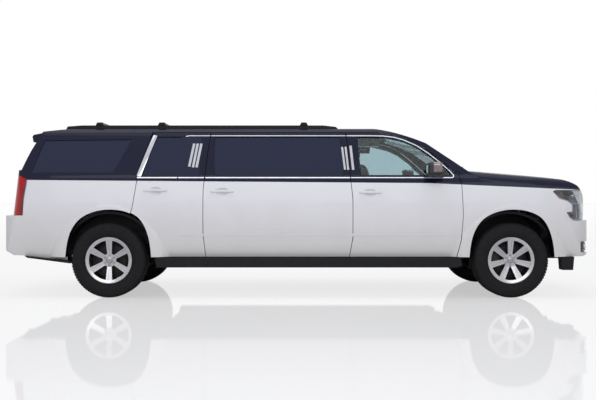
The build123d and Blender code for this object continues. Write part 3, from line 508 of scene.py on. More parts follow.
def sidePatch(name, backEdge, frontEdge, side, lift, material, body="root", cells=(4, 4),
              crown=0.0, skin=None, wall=0.003):
    # a curved plate between two edge lines given bottom to top, as (x, z)
    across, along = cells
    points, faces = [], []
    for i in range(along + 1):
        a, b = alongLine(backEdge, i / along), alongLine(frontEdge, i / along)
        for j in range(across + 1):
            u = j / across
            rise = lift + crown * (1 - (2 * u - 1) ** 4)
            x, z = a[0] + (b[0] - a[0]) * u, a[1] + (b[1] - a[1]) * u
            points.append(onSide(skin, x, z, side, rise)[0])
    row = across + 1
    for i in range(along):
        for j in range(across):
            corner = i * row + j
            faces.append((corner, corner + 1, corner + row + 1, corner + row))
    if side > 0:
        faces = [face[::-1] for face in faces]
    piece = newPiece(name, points, faces)
    thicken(piece, wall)
    finishPiece(piece, material, body)


def spread(a, b, steps):
    # evenly spaced points from a to b
    return [tuple(p + (q - p) * i / steps for p, q in zip(a, b)) for i in range(steps + 1)]


# bright trim of the side windows, as (x, z) on the right-hand side; the left mirrors it
windowTrim = {
    "beltHeight": 1.2885,
    "beltSizes": (0.0155, 0.01, 0.004, 0.05),     # width, height, edge rounding, bend radius
    "topSizes": (0.0105, 0.009, 0.0035, 0.09),
    "loopSizes": (0.0125, 0.009, 0.0035, 0.08),
    "lift": 0.0015,
    "belt": {"rear": [(-1.731, -1.299), (-1.288, -1.0095)], "middle": [(-0.9965, 0.5585)]},
    "top": {
        "rear": [(-1.226, 1.742), (-1.196, 1.75), (-0.9605, 1.75)],
        "middle": [(-0.9495, 1.75), (0.519, 1.75)],
    },
    "frontLoop": [(0.5315, 1.75), (0.8, 1.75), (0.93, 1.7475), (1.05, 1.733),
                  (1.155, 1.702), (1.29, 1.64), (1.4215, 1.549), (1.5475, 1.443),
                  (1.63, 1.365), (1.676, 1.315), (1.672, 1.289), (1.6, 1.2885), (0.5695, 1.2885)],
    "wedgeBack": [(-1.7335, 1.302), (-1.735, 1.318), (-1.5835, 1.7585)],
    "wedgeFront": [(-1.6915, 1.302), (-1.6885, 1.311), (-1.539, 1.752)],
    "wedgeCrown": 0.004,
}


def makeWindowTrim(side, word):
    t = windowTrim
    height = t["beltHeight"]
    for place, runs in t["belt"].items():
        sideStrip(f"beltStrip_{place}_{word}", [[(a, height), (b, height)] for a, b in runs], side,
                  t["beltSizes"], t["lift"], chrome, f"door_{place}_{word}")
    for place, path in t["top"].items():
        sideStrip(f"topStrip_{place}_{word}", [path], side, t["topSizes"], t["lift"], chrome,
                  f"door_{place}_{word}")
    sideStrip(f"windowStrip_front_{word}", [t["frontLoop"]], side, t["loopSizes"], t["lift"],
              chrome, f"door_front_{word}")
    sidePatch(f"pillarWedge_{word}", t["wedgeBack"], t["wedgeFront"], side, t["lift"], chrome,
              f"door_rear_{word}", (8, 30), t["wedgeCrown"])


# slanted bright slats and the black panels behind them
slatSet = {
    "widths": {"rear": 0.0285, "middle": 0.024, "front": 0.0285},
    "sizes": (0.009, 0.004, 0.02),       # height, edge rounding, bend
    "lift": 0.004,
    "rear": [((-1.174, 1.4065), (-1.131, 1.6605)), ((-1.133, 1.3985), (-1.0925, 1.6605)),
             ((-1.095, 1.3985), (-1.0525, 1.6605))],
    "middle": [((0.507, 1.374), (0.4795, 1.623)), ((0.542, 1.372), (0.517, 1.625))],
    "front": [((0.595, 1.372), (0.571, 1.637))],
    "panelBack": [(-1.288, 1.3135), (-1.271, 1.7415)],
    "panelFront": [(-1.0632, 1.3135), (-1.0483, 1.7415)],
    "panelDepth": -0.0015,
}


def makeSlats(side, word):
    s = slatSet
    for place, width in s["widths"].items():
        sideStrip(f"slats_{place}_{word}", s[place], side, (width, *s["sizes"]), s["lift"], chrome,
                  f"door_{place}_{word}")
    sidePatch(f"pillarPanel_{word}", s["panelBack"], s["panelFront"], side, s["panelDepth"],
              privacyGlass, f"door_rear_{word}", (4, 16), wall=0.004)


# rubber channels round the panes, inside the window openings
paneSeals = {
    "sizes": (0.009, 0.008, 0.002, 0.012),
    "depth": -0.0045,
    "rear": [(-1.6795, 1.3145), (-1.5345, 1.7405), (-1.0495, 1.7405), (-1.0643, 1.3145)],
    "middle": [(-0.9005, 1.3145), (-0.9073, 1.7405), (0.4575, 1.7405), (0.495, 1.3145)],
    "front": [(0.6765, 1.3145), (0.645, 1.7405), (0.929, 1.7375), (1.148, 1.686), (1.282, 1.6245),
              (1.412, 1.5335), (1.5365, 1.429), (1.635, 1.343), (1.635, 1.3145)],
}


def makePaneSeals(side, word):
    for place in ("rear", "middle", "front"):
        sideStrip(f"paneSeal_{place}_{word}", [paneSeals[place]], side, paneSeals["sizes"],
                  paneSeals["depth"], mouldedBlack, f"door_{place}_{word}", closed=True)


# low moulding along the doors, a skirt behind the rear wheel, and the front pillar's foot, which
# shows in the gap between door, fender and windscreen
lowSideSet = {
    "height": 0.676,
    "sizes": (0.03, 0.0075, 0.0035, 0.05),
    "lift": 0.0002,
    "rear": (-1.285, -1.012), "middle": (-0.984, 0.553), "front": (0.581, 1.7),
    "skirtBack": [(-2.535, 0.384), (-2.535, 0.475)],
    "skirtFront": [(-2.45, 0.372), (-2.45, 0.475)],
    "skirtDepth": -0.045,
    "footBack": [(1.69, 1.322), (1.69, 1.372)],
    "footFront": [(1.756, 1.3), (1.756, 1.352)],
    "footDepth": -0.009,
}


def makeLowSide(side, word):
    m = lowSideSet
    for place in ("rear", "middle", "front"):
        back, front = m[place]
        line = spread((back, m["height"]), (front, m["height"]), 6)
        sideStrip(f"moulding_{place}_{word}", [line], side, m["sizes"], m["lift"], bodyPaint,
                  f"door_{place}_{word}")
    sidePatch(f"archSkirt_{word}", m["skirtBack"], m["skirtFront"], side, m["skirtDepth"],
              mouldedBlack, wall=0.004)
    sidePatch(f"pillarFoot_{word}", m["footBack"], m["footFront"], side, m["footDepth"], bodyPaint)


for side, word in sides:
    makeWindowTrim(side, word)
    makeSlats(side, word)
    makePaneSeals(side, word)
    makeLowSide(side, word)
print("window trim, slats and seals made")


# tyres: carcass turned from one half profile, with tread blocks set round it
tyreForm = {
    "segments": 128,
    "blocksRound": 76,
    "half": [(0.249, 0.096), (0.25, 0.1005), (0.257, 0.108), (0.264, 0.1105), (0.2665, 0.114),
             (0.272, 0.1155), (0.276, 0.1195), (0.295, 0.1262), (0.318, 0.1308), (0.323, 0.1318),
             (0.328, 0.1306), (0.345, 0.1318), (0.362, 0.13), (0.369, 0.1285), (0.372, 0.1262),
             (0.383, 0.121), (0.3885, 0.113), (0.39, 0.078), (0.3905, 0.07), (0.4, 0.069),
             (0.4006, 0.044), (0.3995, 0.043), (0.3915, 0.0425), (0.3915, 0.0345), (0.3998, 0.034),
             (0.401, 0.03), (0.401, 0.006), (0.3998, 0.004), (0.393, 0.0038), (0.393, 0.0)],
    "block": [(0.387, 0.077), (0.4003, 0.077), (0.3999, 0.099), (0.3962, 0.111), (0.3895, 0.119),
              (0.38, 0.124), (0.376, 0.1225)],
    "blockLength": 0.0245,
    "ribLength": 0.027,
    "ribBlock": [(0.3905, 0.0465), (0.4008, 0.0465), (0.4008, 0.0665), (0.3905, 0.0665)],
    "inner": [(0.247, 0.08), (0.29, 0.108), (0.35, 0.112), (0.376, 0.085), (0.378, 0.0)],
}


def ringFaces(rings, count, closed):
    # faces between each ring of points and the next
    pairs = [(i * count, (i + 1) % rings * count) for i in range(rings if closed else rings - 1)]
    return [(a + j, a + (j + 1) % count, b + (j + 1) % count, b + j)
            for a, b in pairs for j in range(count)]


def spun(profile, segments, centre, alongCar=False):
    # profile: closed ring of (radius, reach) turned about a line across the car, or along it
    points = []
    for i in range(segments):
        angle = 2 * math.pi * i / segments
        for radius, reach in profile:
            s, c = radius * math.sin(angle), radius * math.cos(angle)
            offset = (reach, c, s) if alongCar else (s, reach, c)
            points.append([a + b for a, b in zip(centre, offset)])
    return points, ringFaces(segments, len(profile), True)


def prism(name, rings):
    # rings of equally many points, joined in turn, with flat ends
    count = len(rings[0])
    points = [point for ring in rings for point in ring]
    ends = [tuple(range(count)), tuple(reversed(range(len(points) - count, len(points))))]
    return newPiece(name, points, ringFaces(len(rings), count, False) + ends)


def joined(name, pieces):
    form = bmesh.new()
    for piece in pieces:
        form.from_mesh(piece.data)
        bpy.data.objects.remove(piece)
    return fromForm(name, form)


def middleOf(node):
    low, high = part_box(node)
    return (Vector(low) + Vector(high)) / 2


def makeTyre(place):
    t = tyreForm
    centre = middleOf("tyre_" + place)
    half, inner = t["half"], t["inner"]
    profile = half + [(r, -y) for r, y in half[-2::-1]]
    profile += [(r, -y) for r, y in inner] + [(r, y) for r, y in inner[-2::-1]]
    parts = [newPiece("carcass", *spun(profile, t["segments"], centre))]
    for side in (-1, 1):
        for outline, length in ((t["block"], t["blockLength"]), (t["ribBlock"], t["ribLength"])):
            block = prism("treadBlock", [[(s * length / 2, side * y, r) for r, y in outline]
                                         for s in (-1, 1)])
            runTree(block, ringTree, {"Count": t["blocksRound"], "Centre": centre,
                                      "Material": tyreRubber})
            parts.append(block)
    tyre = joined("treadedTyre_" + place, parts)
    finishPiece(tyre, tyreRubber, "wheel_" + place, 30)
    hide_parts("tyre_" + place)


# hub furniture: centre cap and wheel nuts; all distances from the wheel's own middle
hubFurniture = {
    "nuts": 6,
    "nutCircle": 0.055,
    "nutRadius": 0.0115,
    "nutLevels": ((0.064, 1.0), (0.079, 1.0), (0.082, 0.8)),   # distance out, share of radius
    "cap": [(0.0, 0.089), (0.016, 0.0885), (0.028, 0.086), (0.0335, 0.081), (0.035, 0.074),
            (0.035, 0.06), (0.0, 0.06)],
}


def makeHubFurniture(place, side):
    h = hubFurniture
    centre = middleOf("rim_" + place)
    cap = [(max(r, 0.0002), side * y) for r, y in h["cap"]]
    corners = [math.pi / 3 * i for i in range(6)]
    nut = prism("nut", [[(h["nutRadius"] * grow * math.cos(a), side * y,
                          h["nutCircle"] + h["nutRadius"] * grow * math.sin(a)) for a in corners]
                        for y, grow in h["nutLevels"]])
    runTree(nut, ringTree, {"Count": h["nuts"], "Centre": centre, "Material": chrome})
    whole = joined("hubFurniture_" + place, [newPiece("cap", *spun(cap, 40, centre)), nut])
    finishPiece(whole, hubSteel, "wheel_" + place, 30)


# dished splash shield behind each brake disc
shieldSet = {
    "profile": [(0.07, 0.0), (0.15, 0.0), (0.196, 0.008), (0.206, 0.02), (0.2085, 0.02),
                (0.199, 0.005), (0.151, -0.003), (0.07, -0.003)],
    "depth": -0.022,                      # from the wheel's middle plane outwards
}


def makeShield(place, side, body):
    profile = [(r, side * (y + shieldSet["depth"])) for r, y in shieldSet["profile"]]
    points, faces = spun(profile, 64, middleOf("rim_" + place))
    finishPiece(newPiece("splashShield_" + place, points, faces), mouldedBlack, body, 30)


for place in ("front_right", "front_left", "rear_right", "rear_left"):
    end, hand = place.split("_")
    side = -1 if hand == "right" else 1
    makeTyre(place)
    makeHubFurniture(place, side)
    makeShield(place, side, "knuckle_" + hand if end == "front" else "root")
print("tyres and hubs made")


# which faces of a lamp are its lens, by their normals, and how thick lens and housing are
lampCut = {"sideways": 0.06, "lengthways": 0.25, "level": 0.93, "lensWall": 0.003,
           "housingWall": 0.0012}


def cutFrom(name, node, isKept):
    # a piece made of some of a node's own faces, chosen by their middle and normal
    form = weldedForm(nodes[node].data)
    gone = [face for face in form.faces if not isKept(face.calc_center_median(), face.normal)]
    bmesh.ops.delete(form, geom=gone, context="FACES")
    return fromForm(name, form)


def lampShells(node, side, word, ahead, lensMaterial, housingMaterial):
    # an outer lens over a housing, both from the lamp's own form; ahead is 1 in front, -1 behind
    c = lampCut

    def isLens(normal):
        out = normal.y * side > c["sideways"] or normal.x * ahead > c["lengthways"]
        return out and abs(normal.z) < c["level"]

    for part, material in (("lens", lensMaterial), ("housing", housingMaterial)):
        piece = cutFrom(f"{node}_{part}_{word}", node, lambda spot, normal: (
            spot.y * side >= 0 and isLens(normal) == (part == "lens")))
        thicken(piece, c[part + "Wall"])
        finishPiece(piece, material, "root", 30)


def lathe(name, profile, centre, segments, material):
    points, faces = spun(profile, segments, centre, alongCar=True)
    finishPiece(newPiece(name, points, faces), material)


headlampSet = {
    "bowls": [(2.985, 0.775, 1.092, 0.05), (3.012, 0.672, 1.092, 0.044)],   # x, y, z, radius
    "bowl": [(0.18, -0.03), (0.55, -0.024), (0.85, -0.006), (1.0, 0.02), (1.06, 0.02),
             (1.0, -0.012), (0.6, -0.034), (0.18, -0.04)],     # radius as a share, then x in metres
    "bulb": [(0.0005, 0.004), (0.01, 0.0), (0.0155, -0.01), (0.0155, -0.034), (0.0005, -0.034)],
    "trimSizes": (0.006, 0.002, 0.02),   # height, edge rounding, bend; each width is below
    "trimLift": -0.008,
    "trim": {
        "lampRim": (0.011, [[(2.752, 1.118), (2.8, 1.07), (2.882, 1.043), (2.936, 1.006),
                             (2.945, 0.96)]]),
        "lampBar": (0.012, [[(2.948, 1.012), (3.03, 1.006), (3.085, 1.0)]]),
        "lowLampRim": (0.01, [[(2.884, 0.908), (2.914, 0.868), (2.965, 0.838), (3.06, 0.836)]]),
        "lightPipes": (0.012, [[(3.0, 0.86), (2.992, 0.985)], [(3.04, 0.855), (3.032, 0.99)]]),
    },
    "reflectorLift": -0.0045,
    "reflectors": {
        "sideReflector": ([(2.79, 1.084), (2.748, 1.138)], [(2.842, 1.07), (2.832, 1.146)]),
        "cornerReflector": ([(2.92, 0.862), (2.885, 0.91)], [(2.962, 0.848), (2.952, 0.912)]),
    },
}


def makeHeadlamp(side, word):
    h = headlampSet
    lampShells("headlamps", side, word, 1, clearLens, lampHousing)
    skin = skinTree("headlamps")
    for name, edges in h["reflectors"].items():
        sidePatch(f"{name}_{word}", *edges, side, h["reflectorLift"], amberLens, cells=(8, 8),
                  skin=skin)
    for name, (width, paths) in h["trim"].items():
        sideStrip(f"{name}_{word}", paths, side, (width, *h["trimSizes"]), h["trimLift"], chrome,
                  skin=skin)
    for number, (x, y, z, radius) in enumerate(h["bowls"]):
        bowl = [(share * radius, depth) for share, depth in h["bowl"]]
        lathe(f"lampBowl_{number}_{word}", bowl, (x, side * y, z), 40, chrome)
        lathe(f"lampBulb_{number}_{word}", h["bulb"], (x, side * y, z), 24, clearLens)


tailLampSet = {
    "lines": [[(-3.04, 1.262), (-2.925, 1.262)], [(-3.055, 1.15), (-2.94, 1.15)],
              [(-3.075, 1.0), (-2.95, 1.0)], [(-3.08, 0.925), (-2.95, 0.925)]],
    "lineSizes": (0.007, 0.004, 0.0015, 0.01), "lineLift": 0.001,
    "border": ((-2.96, 0.905), (-2.918, 1.2506)),   # dark line down the lens's front edge
    "borderSizes": (0.018, 0.005, 0.0015, 0.01), "borderLift": 0.0022,
}


def makeTailLamp(side, word):
    t = tailLampSet
    lampShells("tail_lamps", side, word, -1, redLens, glossBlack)
    skin = skinTree("tail_lamps")
    sideStrip(f"lensLines_{word}", t["lines"], side, t["lineSizes"], t["lineLift"], deepRedLens,
              skin=skin)
    sideStrip(f"lensBorder_{word}", [spread(*t["border"], 12)], side, t["borderSizes"],
              t["borderLift"], glossBlack, skin=skin)


for side, word in sides:
    makeHeadlamp(side, word)
    makeTailLamp(side, word)
for name in ("headlamps", "tail_lamps"):
    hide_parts(name)
print("lamps made")


# grille: bright bead round the frame and on each crossbar, black fins behind
grilleSet = {
    "low": 0.8625, "pitch": 0.0457, "slots": 6,
    "fins": 27, "finReach": 0.515, "finDepth": 0.036, "finOverlap": 0.006,
    "finSizes": (0.006, 0.024, 0.002, 0.01),
    "beadReach": 0.53,
    "beadSizes": (0.0105, 0.006, 0.0028, 0.03),
    "frameSizes": (0.014, 0.007, 0.003, 0.012),
    "lift": 0.001,
    "frame": [(-0.57, 0.846), (-0.57, 1.15), (0.57, 1.15), (0.57, 0.846)],
}


def makeGrille():
    g = grilleSet
    skin = skinTree("grille")
    bars = [g["low"] + i * g["pitch"] for i in range(g["slots"] + 1)]
    heights = [bars[0] - g["finOverlap"], *bars[1:-1], bars[-1] + g["finOverlap"]]
    ahead = Vector((1, 0, 0))
    fins = [[(hitFrom(skin, (endReach, y, z), -ahead)[0] - ahead * g["finDepth"], ahead)
             for z in heights] for y, in spread((-g["finReach"],), (g["finReach"],), g["fins"] - 1)]
    strip("grilleFins", fins, g["finSizes"], mouldedBlack)
    beads = [spread((-g["beadReach"], z), (g["beadReach"], z), 16) for z in bars[1:-1]]
    endStrip("grilleBeads", skin, beads, -1, g["beadSizes"], g["lift"], chrome)
    ring = []
    for a, b in zip(g["frame"], g["frame"][1:] + g["frame"][:1]):
        ring += spread(a, b, 12)[:-1]
    endStrip("grilleFrameBead", skin, [ring], -1, g["frameSizes"], g["lift"], chrome, closed=True)


# fog lamps in the bumper's side pockets
fogSet = {
    "y": 0.765, "z": 0.54, "radius": 0.045,
    "seat": (0.552, 0.004),   # height where the pocket's floor is found, and how far in
    "bowl": [(0.1, -0.028), (0.5, -0.022), (0.86, -0.004), (0.9, 0.008), (1.02, 0.01),
             (1.06, 0.004), (1.02, -0.03), (0.1, -0.034)],
    "lens": [(0.005, 0.0085), (0.4, 0.0075), (0.88, 0.003), (0.88, 0.0005), (0.005, 0.005)],
}


def makeFogLamps(side, word):
    f = fogSet
    height, inset = f["seat"]
    place, _ = hitFrom(skinTree("bumper_inserts"), (endReach, side * f["y"], height), (-1, 0, 0))
    centre = (place.x - inset, side * f["y"], f["z"])
    for label, material in (("bowl", chrome), ("lens", clearLens)):
        profile = [(share * f["radius"], depth) for share, depth in f[label]]
        lathe(f"fog_{label}_{word}", profile, centre, 40, material)


# the dark intake where the pocket comes round the bumper's corner
intakeSet = {
    "back": [(3.04, 0.488), (3.04, 0.604)],
    "front": [(3.163, 0.486), (3.165, 0.604)],
    "finSpan": (3.046, 3.1585),
    "finHeights": (0.506, 0.526, 0.546, 0.566, 0.586),
    "finSizes": (0.007, 0.006, 0.002, 0.03),
    "lift": 0.0012, "finLift": 0.002,
}


def makeIntake(side, word):
    n = intakeSet
    skin = skinTree("bumper_front", "bumper_inserts")
    sidePatch(f"intake_{word}", n["back"], n["front"], side, n["lift"], glossBlack, cells=(14, 8),
              skin=skin)
    back, front = n["finSpan"]
    sideStrip(f"intakeFins_{word}", [spread((back, z), (front, z), 9) for z in n["finHeights"]],
              side, n["finSizes"], n["finLift"], mouldedBlack, skin=skin)


# wipers: a bent arm from the cowl and a blade along the glass
wiperSet = {
    "pivots": (0.56, -0.18),
    "armFoot": ((1.945, 0.004), (1.925, 0.024), (1.895, 0.036), (1.86, 0.04)),   # x, lift
    "footStep": 0.02,                  # sideways from one point of the foot to the next
    "armStart": 0.08, "armDip": 0.006, "armLift": (0.024, 0.008),
    "armShares": (0.35, 0.6, 0.8, 1.0),
    "armReach": 0.3,                 # towards the right-hand side, as both park that way
    "bladeHeights": (1.402, 1.388),
    "bladeHalf": 0.275,
    "bladeLift": 0.0075,
    "armSizes": (0.014, 0.007, 0.003, 0.05),
    "bladeSizes": (0.009, 0.014, 0.003, 0.05),
}


def makeWipers():
    w = wiperSet
    skin = skinTree("windshield", "cowl", "roof")
    low, high = w["bladeHeights"]
    lift, fall = w["armLift"]
    arms, blades = [], []
    for y in w["pivots"]:
        middle, start = y - w["armReach"], y - w["armStart"]
        arms.append([hitFrom(skin, (x, y - w["footStep"] * i, endReach), (0, 0, -1), up)
                     for i, (x, up) in enumerate(w["armFoot"])]
                    + [hitFrom(skin, (endReach, start + (middle - start) * t,
                                      low - w["armDip"] * (1 - t)),
                               (-1, 0, 0), lift - fall * t) for t in w["armShares"]])
        line = spread((middle - w["bladeHalf"], low), (middle + w["bladeHalf"], high), 12)
        blades.append([hitFrom(skin, (endReach, a, b), (-1, 0, 0), w["bladeLift"])
                       for a, b in line])
    strip("wiperArms", arms, w["armSizes"], mouldedBlack)
    strip("wiperBlades", blades, w["bladeSizes"], tyreRubber)


# mirror glass: the shell's rearward face, drawn in from its rim
mirrorSet = {"facing": -0.95, "foremost": 1.4, "innermost": 0.985, "shrink": (0.88, 0.84),
             "proud": 0.0006, "thickness": 0.002}


def makeMirrorGlass(side, word):
    m = mirrorSet
    piece = cutFrom(f"mirrorGlass_{word}", f"mirror_{word}", lambda spot, normal: (
        normal.x <= m["facing"] and spot.x <= m["foremost"] and abs(spot.y) >= m["innermost"]))
    spots = [v.co for v in piece.data.vertices]
    ys, zs = [spot.y for spot in spots], [spot.z for spot in spots]
    y, z = (min(ys) + max(ys)) / 2, (min(zs) + max(zs)) / 2
    for spot in spots:
        spot.x -= m["proud"]
        spot.y = y + (spot.y - y) * m["shrink"][0]
        spot.z = z + (spot.z - z) * m["shrink"][1]
    thicken(piece, -m["thickness"])
    finishPiece(piece, silvered, "door_front_" + word)


# tail end: path, sizes and lift of the pull, the stop lamp in the spoiler and the rear wiper as
# (y, z), and of the spoiler's end caps as (x, z)
tailSet = {
    "tailgatePull": (((-0.3, 1.11), (0.3, 1.11)), (0.04, 0.014, 0.005, 0.03), 0.004),
    "highStopLamp": (((-0.25, 1.742), (0.25, 1.742)), (0.022, 0.006, 0.002, 0.03), 0.001),
    "rearWiper": (((0.02, 1.315), (0.06, 1.345), (0.36, 1.352)), (0.014, 0.01, 0.003, 0.03), 0.006),
    "spoilerEnd": (((-2.852, 1.716), (-2.848, 1.752)), (0.017, 0.006, 0.003, 0.01), 0.002),
}


def makeTail():
    skin = skinTree("tailgate", "tailgate_glass")
    for name, material in (("tailgatePull", chrome), ("highStopLamp", redLens)):
        path, sizes, lift = tailSet[name]
        endStrip(name, skin, [spread(*path, 10)], 1, sizes, lift, material, "tailgate")
    path, sizes, lift = tailSet["spoilerEnd"]
    for side, word in sides:
        sideStrip(f"spoilerEnd_{word}", [path], side, sizes, lift, chrome, "tailgate", skin=skin)
    path, sizes, lift = tailSet["rearWiper"]
    endStrip("rearWiper", skin, [path], 1, sizes, lift, mouldedBlack, "tailgate")


makeGrille()
makeWipers()
for side, word in sides:
    makeFogLamps(side, word)
    makeIntake(side, word)
    makeMirrorGlass(side, word)
makeTail()
print("front and tail details made")


# seats: each cushion, back and headrest is its own padded leather piece
seatPads = {
    "cell": 0.034,
    "cap": 0.009,            # how far the filling may push the leather out
    "cloth": {"quality": 5, "use_pressure": True, "uniform_pressure_force": 4.0,
              "tension_stiffness": 25, "compression_stiffness": 25, "bending_stiffness": 2.0},
    "frames": 14,
    "channelDepth": 0.009,
    "channelWidth": 0.01,
    "channelSpan": 0.86,     # share of the pad that the outer channels lie within
    "channelReach": 0.8,    # share of the pad along which a channel runs
    # low corner, high corner, lean (x for each metre of height), corner radius, crown, channels
    "frontCushion": ((0.865, -0.215, 0.66), (1.32, 0.215, 0.845), 0.0, 0.055, 0.02, 5),
    "frontBack": ((0.64, -0.212, 0.7), (0.79, 0.212, 1.455), -0.155, 0.06, 0.02, 5),
    "headrest": ((0.612, -0.125, 1.49), (0.695, 0.125, 1.632), 0.0, 0.036, 0.008, 0),
    "benchCushion": ((-1.985, -0.232, 0.8), (-1.515, 0.232, 1.0), 0.0, 0.05, 0.02, 4),
    "benchBack": ((-2.13, -0.232, 0.93), (-1.99, 0.232, 1.545), -0.11, 0.055, 0.02, 4),
    "sofaCushion": ((-0.26, 0.34, 0.7), (0.26, 0.59, 0.91), 0.0, 0.05, 0.016, 4),
    "sofaBack": ((-0.26, 0.6, 0.88), (0.26, 0.732, 1.29), 0.0, 0.048, 0.014, 4),
}


def padShape(name, spec, place):
    low, high, lean, corner, crown, channels = spec
    half = [(b - a) / 2 for a, b in zip(low, high)]
    centre = [(a + b) / 2 + m for a, b, m in zip(low, high, place)]
    form = bmesh.new()
    bmesh.ops.create_cube(form, size=2.0)
    cells = max(4, round(2 * sorted(half)[1] / seatPads["cell"]))
    bmesh.ops.subdivide_edges(form, edges=form.edges, cuts=cells, use_grid_fill=True)
    thin = half.index(min(half))
    flat = [i for i in range(3) if i != thin]
    for vert in form.verts:
        u = list(vert.co)
        p = [u[i] * half[i] for i in range(3)]
        core = [max(-(half[i] - corner), min(half[i] - corner, p[i])) for i in range(3)]
        out = Vector([p[i] - core[i] for i in range(3)])
        if out.length > 1e-9:
            out = out.normalized() * corner
        p = [core[i] + out[i] for i in range(3)]
        p[thin] += crown * (1 - u[flat[0]] ** 2) * (1 - u[flat[1]] ** 2) * u[thin]
        for i, other in (flat, flat[::-1]):   # the sides draw in between the corners
            p[i] -= 0.5 * crown * (1 - u[other] ** 2) * u[i]
        vert.co = Vector([centre[0] + p[0] + lean * p[2], centre[1] + p[1], centre[2] + p[2]])
    return fromForm(name, form), centre, half, thin, channels


def inflate(piece):
    start = [v.co.copy() for v in piece.data.vertices]
    cloth = piece.modifiers.new("filling", "CLOTH")
    for name, value in seatPads["cloth"].items():
        setattr(cloth.settings, name, value)
    cloth.settings.effector_weights.gravity = 0.0
    scene = bpy.context.scene
    cloth.point_cache.frame_start = 1
    cloth.point_cache.frame_end = seatPads["frames"]
    for number in range(1, seatPads["frames"] + 1):
        scene.frame_set(number)
    applyModifiers(piece)
    scene.frame_set(1)
    for vert, was in zip(piece.data.vertices, start):
        moved = vert.co - was
        if moved.length > seatPads["cap"]:
            vert.co = was + moved.normalized() * seatPads["cap"]


def makePad(name, key, place, acrossAxis):
    s = seatPads
    piece, centre, half, thin, channels = padShape(name, s[key], place)
    inflate(piece)
    smooth = piece.modifiers.new("smooth", "SUBSURF")
    smooth.levels = smooth.render_levels = 1
    applyModifiers(piece)
    # sewn channels, cut after the filling has set the shape
    lines = [(-1 + 2 * (i + 1) / (channels + 1)) * half[acrossAxis] * s["channelSpan"]
             for i in range(channels)]
    alongAxis = 3 - thin - acrossAxis
    for vert in piece.data.vertices:
        p = [vert.co[i] - centre[i] for i in range(3)]
        if abs(p[alongAxis]) > s["channelReach"] * half[alongAxis]:
            continue
        dent = sum(math.exp(-((p[acrossAxis] - line) / s["channelWidth"]) ** 2) for line in lines)
        vert.co[thin] -= math.copysign(s["channelDepth"] * min(dent, 1), p[thin])
    finishPiece(piece, seatLeather, "root", 60)
    return piece


# plinths and seat bases under the cushions, with bright headrest posts
seatBases = {
    "frontBase": ((0.87, -0.19, 0.542), (1.29, 0.19, 0.672), 0.0, 0.03, 0.0, 0),
    "benchBase": ((-1.975, -0.462, 0.735), (-1.53, 0.462, 0.812), 0.0, 0.02, 0.0, 0),
    "sofaBase": ((-1.335, 0.35, 0.542), (0.235, 0.735, 0.712), 0.0, 0.025, 0.0, 0),
    "postRadius": 0.0065,
    "posts": (-0.055, 0.055),
    "postX": 0.6525,
    "postHeights": (1.44, 1.51),
}


def makeBase(name, key, material, place=(0, 0, 0)):
    finishPiece(padShape(name, seatBases[key], place)[0], material, "root", 50)


def makePosts(name, y):
    b = seatBases
    turns = [math.pi / 10 * i for i in range(20)]
    parts = [prism("post", [[(b["postX"] + b["postRadius"] * math.cos(a),
                              y + offset + b["postRadius"] * math.sin(a), z) for a in turns]
                            for z in b["postHeights"]]) for offset in b["posts"]]
    finishPiece(joined(name, parts), chrome, "root", 40)


frontSeatReach = 0.43     # from the middle of the car to the middle of each front seat
frontBackShift = 0.035    # each front seat's back stands this far ahead of where it was drawn
benchPlaces = (-0.2355, 0.2355)             # y
sofaPlaces = (-1.085, -0.552, -0.019)       # x
for side, word in sides:
    makeBase(f"seatBase_{word}", "frontBase", mouldedBlack, (0, side * frontSeatReach, 0))
    makePosts(f"headrestPosts_{word}", side * frontSeatReach)
makeBase("benchPlinth", "benchBase", softTrim)
makeBase("sofaPlinth", "sofaBase", softTrim)

for side, word in sides:
    y = side * frontSeatReach
    makePad(f"seatCushion_{word}", "frontCushion", (0, y, 0), 1)
    makePad(f"seatBack_{word}", "frontBack", (frontBackShift, y, 0), 1)
    makePad(f"headrest_{word}", "headrest", (0, y, 0), 1)
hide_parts("front_seats")
for number, y in enumerate(benchPlaces):
    makePad(f"benchCushion_{number}", "benchCushion", (0, y, 0), 1)
    makePad(f"benchBack_{number}", "benchBack", (0, y, 0), 1)
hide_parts("lounge_seats")
for number, x in enumerate(sofaPlaces):
    makePad(f"sofaCushion_{number}", "sofaCushion", (x, 0, 0), 0)
    makePad(f"sofaBack_{number}", "sofaBack", (x, 0, 0), 0)
print("seats made")


# pale studio
studio = {
    "eye": (0.0, -10.0, 1.049),
    "lensMm": 50.8,
    "background": "FFFFFF",
    "dim": ("F2F4FA", 0.45),          # what lights the car, as against what the eye sees
    "floor": "F4F4F6",
    "floorDrop": 0.0005, "floorSize": 300, "floorRoughness": 0.04,
    "glow": (1.0, 1.02), "glowPatch": (0.6, 1.0),
    "whiteShare": 0.52,
    "lamps": {                         # place, tilt in degrees, size, power
        "overheadSoftbox": ((0, -1.5, 6.5), 0, (9, 5), 150),
        "sideSoftbox": ((0, -8.5, 4.0), 62, (10, 3), 200),
        "rearFill": ((0, 8.0, 4.0), -62, (10, 3), 80),
    },
}


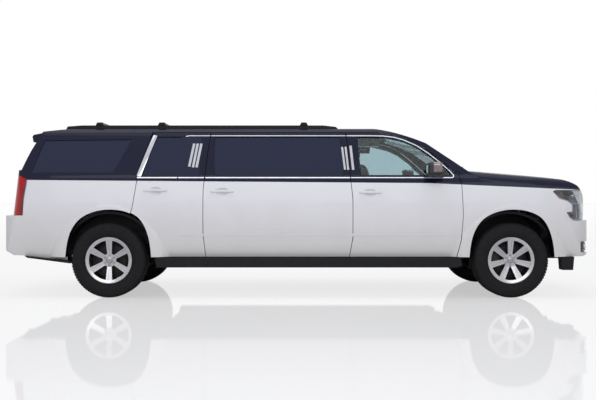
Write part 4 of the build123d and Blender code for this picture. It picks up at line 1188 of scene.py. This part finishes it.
def makeWorld():
    world = bpy.data.worlds.new("studioWorld")
    bpy.context.scene.world = world
    world.use_nodes = True
    tree = world.node_tree
    tree.nodes.clear()
    path = addNode(tree, "LightPath").outputs
    seen = calc(tree, "MAXIMUM", path["Is Camera Ray"], path["Is Transmission Ray"])
    seen = calc(tree, "MAXIMUM", seen, path["Is Glossy Ray"])
    colour, strength = studio["dim"]
    dim = addNode(tree, "Background", {"Color": toLinear(colour), "Strength": strength})
    plain = addNode(tree, "Background", {"Color": toLinear(studio["background"])})
    mix = addNode(tree, "MixShader", {0: seen, 1: dim, 2: plain})
    addNode(tree, "OutputWorld", {"Surface": mix})


def makeLamps():
    for name, (place, tilt, size, power) in studio["lamps"].items():
        data = bpy.data.lights.new(name, "AREA")
        data.shape = "RECTANGLE"
        data.size, data.size_y = size
        data.energy = power
        lamp = linked(name, data)
        lamp.location = place
        lamp.rotation_euler = (math.radians(tilt), 0, 0)


def makeFloor():
    form = bmesh.new()
    bmesh.ops.create_grid(form, x_segments=1, y_segments=1, size=studio["floorSize"])
    floor = fromForm("studioFloor", form)
    floor.location.z = -studio["floorDrop"]
    # white sweep under a polished sheet: the eye sees bright white with a faint mirror image
    material, tree, shader, place = startMaterial("paleStudioFloor", {
        "Base Color": toLinear(studio["floor"]), "Roughness": studio["floorRoughness"]})
    strength = remap(tree, noiseAt(tree, place, *studio["glowPatch"]), studio["glow"])
    glow = addNode(tree, "Emission", {"Color": toLinear("FFFFFF"), "Strength": strength})
    look = addNode(tree, "LightPath").outputs["Is Camera Ray"]
    both = addNode(tree, "MixShader", {
        0: calc(tree, "MULTIPLY", look, studio["whiteShare"]), 1: shader, 2: glow})
    output = [n for n in tree.nodes if n.bl_idname == "ShaderNodeOutputMaterial"][0]
    tree.links.new(both.outputs[0], output.inputs["Surface"])
    floor.data.materials.append(material)


def makeCamera():
    camera = bpy.data.cameras.new("sideCamera")
    camera.lens = studio["lensMm"]
    eye = linked("sideCamera", camera)
    eye.location = studio["eye"]
    eye.rotation_euler = (math.radians(90), 0, 0)
    bpy.context.scene.camera = eye
    bpy.context.scene.view_settings.view_transform = "Standard"


makeWorld()
makeLamps()
makeFloor()
makeCamera()
print("studio ready")
